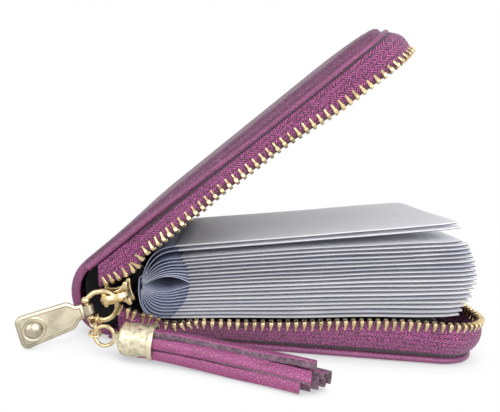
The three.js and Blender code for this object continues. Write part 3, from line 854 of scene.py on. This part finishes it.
class WALLET_OT_spine(bpy.types.Operator):
    """Spine leather with rolled rims, and the lining inside it"""

    bl_idname = "wallet.spine"
    bl_label = "Spine"

    def execute(self, context):
        # Rims as (inset, height), mm
        rim = [
            (3.0, 1.2), (1.0, 1.3), (0.85, 2.4), (0.6, 2.75), (0.25, 2.75), (0.0, 2.3), (-0.05, 1.6),
            (0.05, 1.0), (0.4, 0.45), (1.2, 0.1),
        ]
        flat = [(1.0, 0.25)]
        outer = spine_line(0.0, 10.2 * MM, 28)
        # The spine takes the piping's lighter leather: a painted highlight on its rolled edge
        skin = "piping_leather"
        self.wrap("spine_leather_wrap", outer, rim, LEATHER, skin, "cover_leather", "spine_leather")
        inside = spine_line(LINING_LOW.z, 5.8 * MM, 24)
        loft = self.end_fold(inside, Vector((HINGE.x + 2 * MM, 0, HINGE.z + 1 * MM)))
        self.wrap("spine_cloth", inside, flat, 0.5 * MM, "black_lining", "lining", "spine_lining", loft)
        return {"FINISHED"}

    def end_fold(self, line, middle):
        """Fold of lining that closes the spine's rear end."""
        near, far = [Y * (HALF_DEPTH - inset * MM) for inset in (3.0, 3.3)]
        sections = []
        for k, point in enumerate(line):
            outer = point + turned_inward(line, k) * 0.6 * MM
            inner = outer.lerp(middle, 0.96)
            sections.append([outer + near, inner + near, inner + far, outer + far])
        return Loft().sweep(sections)

    def wrap(self, name, line, rim, thickness, skin, slot, node, loft=None):
        """A strip along a line, the same rim at both sides, that follows the spine's bend between the covers.
        """
        ys = [HALF_DEPTH * share for share in (-0.6, -0.2, 0.2, 0.6)]
        sections = []
        for k, point in enumerate(line):
            inward = turned_inward(line, k)
            near = [point + inward * z * MM + Y * (inset * MM - HALF_DEPTH) for inset, z in rim]
            far = [Vector((p.x, -p.y, p.z)) for p in near[::-1]]
            outside = [point + Y * y for y in ys]
            inside = [point + inward * thickness + Y * y for y in ys[::-1]]
            sections.append(near + outside + far + inside)
        loft = (loft or Loft()).sweep(sections)
        piece = make_piece(loft.bm, name, skin, sharp=75)
        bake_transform(piece)
        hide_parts(node)


class WALLET_OT_sleeves(bpy.types.Operator):
    """Frosted sleeves that fan out from the spine, and the pleated wrap that holds them"""

    bl_idname = "wallet.sleeves"
    bl_label = "Sleeves"

    def execute(self, context):
        focus = Vector((HINGE.x + 4.6 * MM, 0, HINGE.z))
        for i in range(len(SLEEVES)):
            self.leaf(i, focus)
        self.wrap(focus)
        return {"FINISHED"}

    def line(self, i, focus):
        """Middle line of a sleeve: its margin from the focus to the crease, then its pocket."""
        last = len(SLEEVES) - 1
        joint = JOINTS[f"{SLEEVES[i]}_turn"]
        rank = i / last
        spread = 2 * rank - 1
        inmost = 1 - spread * spread
        # The crease, put flat between the linings and turned out to where the sleeve lies at rest
        setback = (4 if spread > 0 else 5) * spread * spread * MM
        root = Vector(joint["pos_m"])
        shut = LINING_HIGH.z + 0.48 * MM
        level = mix(shut, 2 * HINGE.z - shut, rank)
        turn = Matrix.Rotation(math.radians(joint["range_deg"][0] + 0.3), 3, "Y")
        lean = turn @ X
        crease = root + turn @ (Vector((HINGE.x + BEND - setback, 0, level)) - root)
        lift = 1.4 * MM * rank * rank
        apart = {last: 0.6, last - 1: 0.45}.get(i, -0.9 * rank * rank) * MM
        crease.z += lift + apart
        uneven = 1.3 * MM * noise.noise(Vector((i * 7.7, 0.2, 3.3))) - 0.3 * MM
        reaching = 3 * MM * (inmost if spread > 0 else 1)
        length = COVER_HIGH.x - 0.5 * MM - HINGE.x - BEND + reaching + uneven
        start = focus + Vector((0.25 * inmost, 0, 0.13 * (i - last / 2))) * MM
        swing = math.radians(14 * math.copysign(1, spread) + 72 * spread)
        rise = Vector((math.cos(swing), 0, math.sin(swing)))
        reach = mix(5.0, 8.5, abs(spread)) * MM
        # The sleeves part in the middle, which leaves an open pleat
        pull = Z * math.exp(-abs(spread) * 4) * (3.4 if spread > 0 else -1.2) * MM
        margin = bezier(start, start + rise * reach + pull, crease - lean * 4.5 * MM + pull, crease, 14)
        droop = 0.0 if i >= last - 1 else 2.2 * MM * rank
        pocket = []
        for t in [0.003] + [k / 18 for k in range(1, 19)]:
            wave = 0.16 * MM * noise.noise(Vector((t * 3.5, i * 0.35, 0.3)))
            fall = (lift + max(apart, 0)) * t + droop * t * t
            pocket.append(crease + lean * length * t + Z * (wave - fall))
        return margin, pocket

    def leaf(self, i, focus):
        """One sleeve: a thin margin and a pocket of two films."""
        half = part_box(SLEEVES[i])[1].y
        margin, pocket = self.line(i, focus)
        line = margin + pocket
        last, crease = len(line) - 1, len(margin) - 1
        # Thickness of the margin and of the filled pocket, and the cut of the pocket's corners
        thin, cut = 0.26 * MM, 1.4 * MM
        full = (0.68 + 0.3 * noise.noise(Vector((i * 5.3, 0.7, 0)))) * MM
        # How far up its edge a sleeve is dark: more in the upper half, where the sleeves are full
        dark = (0.62 if 9 <= i <= 17 else 0.3) + 0.2 * noise.noise(Vector((i * 3.1, 4.4, 0)))
        shares = [-1, -0.996, -0.97, -0.7, -0.35, 0, 0.35, 0.7, 0.97, 0.996, 1]
        sections = []
        for k, point in enumerate(line):
            along = heading(line, k)
            normal = Vector((-along.z, 0, along.x))
            t = max(0.0, (k - crease) / (last - crease))
            thick = thin if k <= crease else full
            trim = cut * smooth((t - 0.94) / 0.06)
            top, bottom = [], []
            for share in shares:
                edge = 1 - 0.2 * smooth((abs(share) - 0.99) / 0.01)
                ripple = 0.2 * MM * noise.noise(Vector((point.x * 45, share * 1.6, i * 0.4))) * (0.3 + t)
                spot = point + Y * share * (half - trim) + normal * ripple
                top.append(spot + normal * thick / 2 * edge)
                bottom.append(spot - normal * thick / 2 * edge)
            far, near = [[bottom[end].lerp(top[end], dark + step) for step in (0, 0.06)] for end in (-1, 0)]
            sections.append(top + far[::-1] + bottom[::-1] + near)
        count = len(shares)
        shaded = (count + 1, count + 2, 2 * count + 1, 2 * count + 2)

        def values(k, j):
            pocket = 1.0 if k > crease else 0.0
            return pocket, i / len(SLEEVES), pocket if j in shaded else 0.0

        loft = Loft("pocket", "sheet", "shade").sweep(sections, values)
        piece = make_piece(loft.bm, SLEEVES[i].replace("sleeve", "card_sleeve"), "frosted_film")
        dress(piece, f"{SLEEVES[i]}_leaf", "film", SLEEVES[i])

    def wrap(self, focus):
        """The film that wraps the sleeves' roots and lies on the lining."""
        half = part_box("sleeve_01")[1].y
        low = Vector((focus.x + 5.5 * MM, 0, LINING_HIGH.z + 0.3 * MM))
        high = focus + Vector((1.8, 0, 4.6)) * MM
        apex = focus - X * 0.8 * MM
        line = bezier(low, low - X * 5 * MM, apex - Z * 3.5 * MM, apex, 12)
        line += bezier(apex, apex + Z * 3.5 * MM, high - Vector((3, 0, 2.6)) * MM, high, 12)[1:]
        ys = [half * (j / 4 - 1) for j in range(9)]
        sections = []
        for k, point in enumerate(line):
            normal = turned_inward(line, k) * 0.12 * MM
            sections.append([point + normal + Y * y for y in ys] + [point - normal + Y * y for y in ys[::-1]])
        loft = Loft("pocket", "sheet", "shade").sweep(sections, lambda i, k: (0.0, 0.5, 0.0))
        piece = make_piece(loft.bm, "sleeve_wrap", "frosted_film")
        dress(piece, "lower_case", "fan", "sleeve_binding")


def centre_of(node):
    low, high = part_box(node)
    return (low + high) / 2


def plate(bm, outline, place, thickness, bevel):
    """A flat plate with rounded edges: an outline of (u, v) points, extruded and placed."""
    face = bm.faces.new([bm.verts.new((u, v, -thickness / 2)) for u, v in outline])
    made = bmesh.ops.extrude_face_region(bm, geom=[face])["geom"]
    top = [v for v in made if isinstance(v, bmesh.types.BMVert)]
    bmesh.ops.translate(bm, vec=(0, 0, thickness), verts=top)
    verts = list({*face.verts, *top})
    edges = list({e for v in verts for e in v.link_edges})
    flats = [e for e in edges if abs(e.verts[0].co.z - e.verts[1].co.z) < thickness / 2]
    result = bmesh.ops.bevel(
        bm, geom=flats, offset=bevel, segments=3, affect="EDGES", profile=0.5, material=-1
    )
    verts = list({v for v in verts if v.is_valid} | {v for v in result["verts"] if v.is_valid})
    bmesh.ops.transform(bm, matrix=place, verts=verts)


def basis(u, v, w, origin):
    """Frame with three axes at a place."""
    return Matrix.Translation(origin) @ Matrix((u, v, w)).transposed().to_4x4()


def arc(centre, radius, start, end, count):
    """Points (u, v) of an arc, angles in degrees."""
    turns = [math.radians(mix(start, end, k / count)) for k in range(count + 1)]
    return [(centre[0] + radius * math.cos(a), centre[1] + radius * math.sin(a)) for a in turns]


class WALLET_OT_slider(bpy.types.Operator):
    """Slider with waisted plates, a post and a strap that holds the ring"""

    bl_idname = "wallet.slider"
    bl_label = "Slider"

    def execute(self, context):
        low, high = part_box("slider_body")
        middle = (low + high) / 2
        length = high.x - low.x
        # Half outline in shares of the length, from the left end to the mouth
        upper = [
            (-0.5, 0.1), (-0.5, 0.24), (-0.46, 0.36), (-0.36, 0.36), (-0.28, 0.24), (-0.05, 0.19),
            (0.14, 0.24), (0.28, 0.33), (0.37, 0.46), (0.44, 0.48), (0.5, 0.43), (0.47, 0.26), (0.45, 0.1),
        ]
        outline = [(u * length * 0.95, v * length * 0.88) for u, v in upper]
        outline += [(u, -v) for u, v in outline[::-1]]
        bm = bmesh.new()
        tilt = Matrix.Rotation(-math.radians(18), 4, "Y")
        turn = Matrix.Translation(middle) @ tilt @ Matrix.Translation(-middle)
        for y in (low.y + 0.5 * MM, high.y - 0.5 * MM):
            upright = basis(X, Z, -Y, Vector((middle.x, y, middle.z)))
            plate(bm, outline, turn @ upright, 1.0 * MM, 0.28 * MM)
        loft = Loft(bm=bm)
        foot = Vector((middle.x + 0.22 * length, 0, middle.z + 0.08 * length))
        post = [foot + Y * y for y in (low.y + 0.6 * MM, high.y - 0.6 * MM)]
        loft.sweep(tube(post, 0.6 * MM, Z))
        self.strap(loft, middle, low.y, tilt.to_3x3() @ X, tilt.to_3x3() @ Z)
        piece = make_piece(bm, "zip_slider", "gold_plate", sharp=40)
        dress(piece, "slider", "gold", "slider_body", "slider_bail")
        return {"FINISHED"}

    def strap(self, loft, middle, front, along, across):
        """Arched strap over the front plate."""
        low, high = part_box("slider_bail")
        sunk, thick = 0.3 * MM, 0.34 * MM
        reach, half = front - low.y - 0.35 * MM, (high.x - low.x) / 2 + 0.7 * MM
        sections = []
        for k in range(17):
            turn = math.pi * k / 16
            bow = math.sin(turn) ** 0.5
            spot = Vector((middle.x, front + sunk - (reach + sunk) * bow, middle.z))
            spot -= along * half * math.cos(turn)
            inward = (Y * math.sin(turn) + along * math.cos(turn)).normalized()
            width = mix(0.75, 1.0, bow) * 1.15 * MM
            sections.append([spot + across * width * c**3 + inward * thick * s for c, s in circle(12)])
        loft.sweep(sections)


class WALLET_OT_pull(bpy.types.Operator):
    """Ring with a straight pin, and the pull tab with its dome"""

    bl_idname = "wallet.pull"
    bl_label = "Ring and pull tab"

    def execute(self, context):
        centre = centre_of("pull_ring")
        low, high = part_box("pull_ring")
        wire = (high.y - low.y) / 2
        radius = (high.x - low.x) / 2 - wire
        root = Vector(JOINTS["tab_swing"]["pos_m"])
        radial = (root - centre).normalized()
        across = Vector((-radial.z, 0, radial.x))
        self.ring(centre, radius, wire * 1.3, root, across)
        lean = math.radians(25)
        along = radial * math.cos(lean) - Y * math.sin(lean)
        face = across.cross(along)
        if face.y > 0:
            face.negate()
        self.tab(basis(along, across, face, root), wire)
        return {"FINISHED"}

    def ring(self, centre, radius, wire, root, across):
        """A round wire with a straight pin through the tab and a ball at each end of the pin."""
        pin = 2.5 * MM
        ends = [root - across * pin, root + across * pin]
        if ends[0].z < ends[1].z:
            ends.reverse()
        turns = [math.radians(mix(112, -82, k / 22)) for k in range(23)]
        bow = [centre + Vector((math.cos(a), 0, math.sin(a))) * radius for a in turns]
        # Pulls of the curves that join the bow to the pin
        pulls = [Vector(pull) * MM for pull in ((1.0, 0, 1.3), (-1.2, 0, 0), (-1.2, 0, 0.1), (0.8, 0, 0.1))]
        top = bezier(ends[0], ends[0] + pulls[0], bow[0] + pulls[1], bow[0], 5)
        low = bezier(bow[-1], bow[-1] + pulls[2], ends[1] + pulls[3], ends[1], 5)
        pins = [ends[1].lerp(ends[0], k / 6) for k in range(1, 6)]
        bm = Loft().sweep(ring_tube(top + bow[1:-1] + low + pins, wire, Y), caps=False).bm
        for end in ends:
            bmesh.ops.create_uvsphere(
                bm, u_segments=14, v_segments=10, radius=wire * 1.55, matrix=Matrix.Translation(end)
            )
        piece = make_piece(bm, "pull_d_ring", "gold_plate")
        dress(piece, "ring", "gold", "pull_ring")

    def tab(self, place, wire):
        """Plate with a neck, a raised border and a dome in a ring."""
        neck, side, tip, length, corner = 2.0 * MM, 3.8 * MM, 4.3 * MM, 18.1 * MM, 1.9 * MM
        spot = Vector((length - 3.9 * MM, 0, 0.55 * MM))
        upper = [(1.2 * MM, neck), (2.4 * MM, neck), (3.1 * MM, neck * 1.12)]
        upper += [(4.0 * MM, side * 0.84), (5.0 * MM, side)]
        upper += arc((length - corner, tip - corner), corner, 96, 0, 6)
        outline = upper + [(u, -v) for u, v in upper[::-1]]
        bm = bmesh.new()
        plate(bm, outline, Matrix.Identity(4), 1.3 * MM, 0.34 * MM)
        flats = [f for f in bm.faces if abs(f.normal.z) > 0.9]
        front = max(flats, key=lambda f: f.calc_center_median().z)
        bmesh.ops.inset_region(bm, faces=[front], thickness=0.5 * MM, use_even_offset=True)
        bmesh.ops.inset_region(bm, faces=[front], thickness=0.2 * MM, depth=-0.22 * MM, use_even_offset=True)
        squat = Matrix.Translation(spot) @ Matrix.Scale(0.68, 4, (0, 0, 1))
        bmesh.ops.create_uvsphere(bm, u_segments=28, v_segments=16, radius=2.35 * MM, matrix=squat)
        rim = [spot + Vector((c, s, 0)) * 2.85 * MM for c, s in circle(36)]
        loft = Loft(bm=bm)
        loft.sweep(ring_tube(rim, 0.42 * MM, Z, 8), caps=False)
        # The barrel round the pin: places along it in mm, and radii
        inner, outer = wire + 0.45 * MM, wire + 1.0 * MM
        edge = outer - 0.15 * MM
        barrel = [(-1.3, inner), (-1.3, edge), (-1.15, outer), (1.15, outer), (1.3, edge), (1.3, inner)]
        shell = [[Vector((c * size, v * MM, s * size)) for c, s in circle(24)] for v, size in barrel]
        loft.sweep(shell + shell[:1], caps=False)
        piece = make_piece(bm, "champagne_tab", "champagne_plate", place=place, sharp=38)
        dress(piece, "tab", "tab", "pull_tab", "pull_tab_dome")


class WALLET_OT_chain(bpy.types.Operator):
    """Chain links and the tassel's eye"""

    bl_idname = "wallet.chain"
    bl_label = "Chain"

    def execute(self, context):
        links = [f"chain_link_{k}" for k in range(1, 5)]
        along = (centre_of(links[-1]) - centre_of(links[0])).normalized()
        holders = [f"link_{k}_swing" for k in range(2, 5)] + ["tassel_swing"]
        for k, (node, next_joint) in enumerate(zip(links, holders), 1):
            normal = along.cross(Vector(JOINTS[next_joint]["axis"])).normalized()
            self.loop(node, f"link_{k}", along, normal, 1.38 * MM, 0.33 * MM)
        turn = tassel_frame().to_3x3()
        self.loop("tassel_eye", "tassel", turn.col[0], turn.col[1], 2.6 * MM, 0.5 * MM)
        return {"FINISHED"}

    def loop(self, node, body, along, normal, radius, wire):
        """A round wire loop at a node's centre."""
        third = normal.cross(along)
        centre = centre_of(node)
        points = [centre + (along * c + third * s) * radius for c, s in circle(36)]
        bm = Loft().sweep(ring_tube(points, wire, normal), caps=False).bm
        name = node.replace("tassel_", "round_").replace("chain_", "round_")
        piece = make_piece(bm, name, "gold_plate")
        dress(piece, body, "gold", node)


def tassel_frame():
    """Frame of the tassel: along it, to its far side, up; at the middle of its eye."""
    turn = math.radians(bpy.context.scene.wallet_sizes.tassel_turn)
    along = Vector((math.cos(turn), math.sin(turn), 0))
    return basis(along, Vector((-along.y, along.x, 0)), Z, centre_of("tassel_eye"))


class WALLET_OT_tassel(bpy.types.Operator):
    """Hammered cap and the fringe of leather strips"""

    bl_idname = "wallet.tassel"
    bl_label = "Tassel"

    def execute(self, context):
        place = tassel_frame()
        self.cap(place)
        self.fringe(place)
        return {"FINISHED"}

    def cap(self, place):
        """Cup with hammered sides and a smooth lip, and the lug that the eye runs through."""
        start, radius, dent_size, hammered = 4.2 * MM, 4.25 * MM, 2.1 * MM, range(4, 20)
        # The profile as (place along the cap in mm, share of the radius)
        profile = [(0.0, 0.02), (0.0, 0.5), (0.12, 0.72), (0.5, 0.88)]
        profile += [(1.0 + 0.4 * k, 0.97 + 0.03 * min(k / 3, 1)) for k in range(16)]
        profile += [
            (7.5, 0.99), (7.7, 1.03), (8.0, 1.08), (8.7, 1.09),
            (9.1, 1.06), (9.2, 1.0), (9.15, 0.93), (7.2, 0.9), (5.0, 0.88), (5.0, 0.02),
        ]
        sections = []
        for k, (u, share) in enumerate(profile):
            ring = []
            for c, s in circle(72):
                spot = Vector((c * radius, s * radius, u * MM)) / dent_size
                dents = 0.5 * noise.voronoi(spot)[0][0] - 0.3
                size = radius * share + (0.85 * MM * dents if k in hammered else 0.0)
                ring.append(Vector((start + u * MM, size * c, size * s)))
            sections.append(ring)
        bm = Loft().sweep(sections).bm
        lug = Matrix.Translation((3.4 * MM, 0, 0)) @ Matrix.Diagonal((1.8 * MM, 2.0 * MM, 2.4 * MM, 1))
        bmesh.ops.create_cube(bm, size=1, matrix=lug)
        piece = make_piece(bm, "hammered_tassel_cap", "hammered_cap", place=place)
        dress(piece, "tassel", "gold", "tassel_cap")

    def fringe(self, place):
        """Cut strips, grain side out, that fall from the cap to the table."""
        loft = Loft("skin")
        for seed in range(len(STRIPS)):
            self.strip(loft, seed, place.translation.z)
        skin = loft.layers[0]
        for face in loft.bm.faces:
            face.material_index = 0 if sum(v[skin] for v in face.verts) / len(face.verts) > 0.38 else 1
        piece = make_piece(loft.bm, "leather_fringe", "strip_grain", "strip_suede", place=place, sharp=50)
        dress(piece, "tassel", "fringe", "tassel_fringe")

    def strip(self, loft, seed, height):
        """One strip of the list; height is the axis over the table."""
        levels, depths, rolls, length = STRIPS[seed]
        start, full_width, full_thickness, steps = 9.4 * MM, 3.05 * MM, 1.9 * MM, 22
        outline = [
            (-0.5, -0.3), (-0.5, 0.3), (-0.42, 0.48), (0, 0.54), (0.42, 0.48), (0.5, 0.3),
            (0.5, -0.3), (0.42, -0.48), (0, -0.5), (-0.42, -0.48),
        ]
        sections = []
        for k in range(steps + 1):
            t = k / steps
            gather = mix(0.86, 1.0, smooth(t / 0.4))
            width, thick = full_width * gather, full_thickness * gather
            wave = noise.noise(Vector((t * 2.2, seed * 4.1, 0.5)))
            level = mix(*levels, t) * MM - 0.9 * MM * smooth(t) + 0.4 * MM * wave * t
            depth = mix(*depths, t) * MM - 6.5 * MM * t**1.8
            spot = Vector((start + length * MM * t, depth, level))
            turn = math.radians(mix(*rolls, smooth(t)) + 12 * wave * t)
            up = Vector((0, math.sin(turn), math.cos(turn)))
            out = Vector((0, -math.cos(turn), math.sin(turn)))
            extent = width / 2 * abs(up.z) + thick / 2 * abs(out.z)
            spot.z = max(spot.z, extent + 0.15 * MM - height)
            sections.append([spot + up * width * v + out * thick * w for v, w in outline])
        loft.sweep(sections, lambda i, k: (outline[k][1],))


class WALLET_OT_stage(bpy.types.Operator):
    """White table, soft light and the camera"""

    bl_idname = "wallet.stage"
    bl_label = "Stage"

    def execute(self, context):
        self.table()
        self.light()
        self.camera(context.scene.wallet_view)
        context.scene.view_settings.view_transform = "Standard"
        return {"FINISHED"}

    def table(self):
        """A sheet that looks white but for the shade close under the wallet."""
        bm = bmesh.new()
        bmesh.ops.create_grid(bm, x_segments=1, y_segments=1, size=6.0)
        bmesh.ops.translate(bm, vec=(0, 0, -0.05 * MM), verts=bm.verts)
        paint = Paint("white_table")
        near = paint.node("AmbientOcclusion", {"samples": 16}, {"Distance": 0.03}, output="AO")
        shade = paint.blend((0.55, 0.53, 0.55), (1, 1, 1), near.ramp(0.0, 0.75))
        glow = paint.node("Emission", {}, {"Color": shade, "Strength": 1.0})
        matte = paint.node("BsdfDiffuse", {}, {"Color": (0.82, 0.82, 0.82, 1)})
        both = paint.node("MixShader", {}, {0: paint.seen(), 1: matte, 2: glow})
        paint.node("OutputMaterial", {}, {"Surface": both})
        table = make_piece(bm, "table", "white_table")

    def light(self):
        """A white world, which lights less than it shows, and two soft boxes."""
        world = bpy.data.worlds.new("studio")
        bpy.context.scene.world = world
        paint = Paint("studio", world)
        sky = paint.node("Background", {}, {"Color": (1, 1, 1, 1), "Strength": 0.55 + 0.45 * paint.seen()})
        paint.node("OutputWorld", {}, {"Surface": sky})
        for name, place, size, power in (
            ("key_softbox", (0.42, -0.62, 0.42), 0.7, 6.0),
            ("fill_softbox", (-0.45, -0.55, 0.32), 0.5, 2.0),
        ):
            lamp = bpy.data.lights.new(name, "AREA")
            lamp.size, lamp.energy = size, power
            holder = bpy.data.objects.new(name, lamp)
            holder.location = place
            holder.rotation_euler = (-Vector(place)).to_track_quat("-Z", "Y").to_euler()
            bpy.context.scene.collection.objects.link(holder)

    def camera(self, view):
        azimuth, elevation, roll = (math.radians(a) for a in (view.azimuth, view.elevation, view.roll))
        away = Vector((math.sin(azimuth), -math.cos(azimuth), 0))
        back = away * math.cos(elevation) + Z * math.sin(elevation)
        right = Vector((math.cos(azimuth), math.sin(azimuth), 0))
        up = back.cross(right)
        level = right * math.cos(roll) + up * math.sin(roll)
        upright = up * math.cos(roll) - right * math.sin(roll)
        lens = bpy.data.cameras.new("photo_camera")
        lens.sensor_width, lens.lens = SENSOR, view.lens / PICTURE_WIDTH * SENSOR
        lens.clip_start = 0.005
        holder = bpy.data.objects.new("photo_camera", lens)
        turn = Matrix((level, upright, back)).transposed().to_4x4()
        holder.matrix_world = Matrix.Translation(Vector(view.target) + back * view.distance) @ turn
        bpy.context.scene.collection.objects.link(holder)
        bpy.context.scene.camera = holder


OPERATORS = [
    WALLET_OT_covers, WALLET_OT_piping, WALLET_OT_zip_tapes, WALLET_OT_zip_teeth, WALLET_OT_spine,
    WALLET_OT_sleeves, WALLET_OT_slider, WALLET_OT_pull, WALLET_OT_chain, WALLET_OT_tassel, WALLET_OT_stage,
]
GROUPS = {"wallet_colours": WalletColours, "wallet_view": WalletView, "wallet_sizes": WalletSizes}


class WALLET_PT_panel(bpy.types.Panel):
    """Lists the wallet's pieces in the sidebar"""

    bl_idname = "WALLET_PT_panel"
    bl_label = "Card wallet"
    bl_space_type = "VIEW_3D"
    bl_region_type = "UI"
    bl_category = "Wallet"

    def draw(self, context):
        for operator in OPERATORS:
            self.layout.operator(operator.bl_idname)
        for name, group in GROUPS.items():
            box = self.layout.box()
            for key in group.__annotations__:
                box.prop(getattr(context.scene, name), key)


CLASSES = [*GROUPS.values(), *OPERATORS, WALLET_PT_panel]


def register():
    for each in CLASSES:
        bpy.utils.register_class(each)
    for name, group in GROUPS.items():
        setattr(bpy.types.Scene, name, PointerProperty(type=group))


def unregister():
    for name in GROUPS:
        delattr(bpy.types.Scene, name)
    for each in reversed(CLASSES):
        bpy.utils.unregister_class(each)


def main():
    register()
    for operator in OPERATORS:
        group, name = operator.bl_idname.split(".")
        getattr(getattr(bpy.ops, group), name)()


if __name__ == "__main__":
    main()
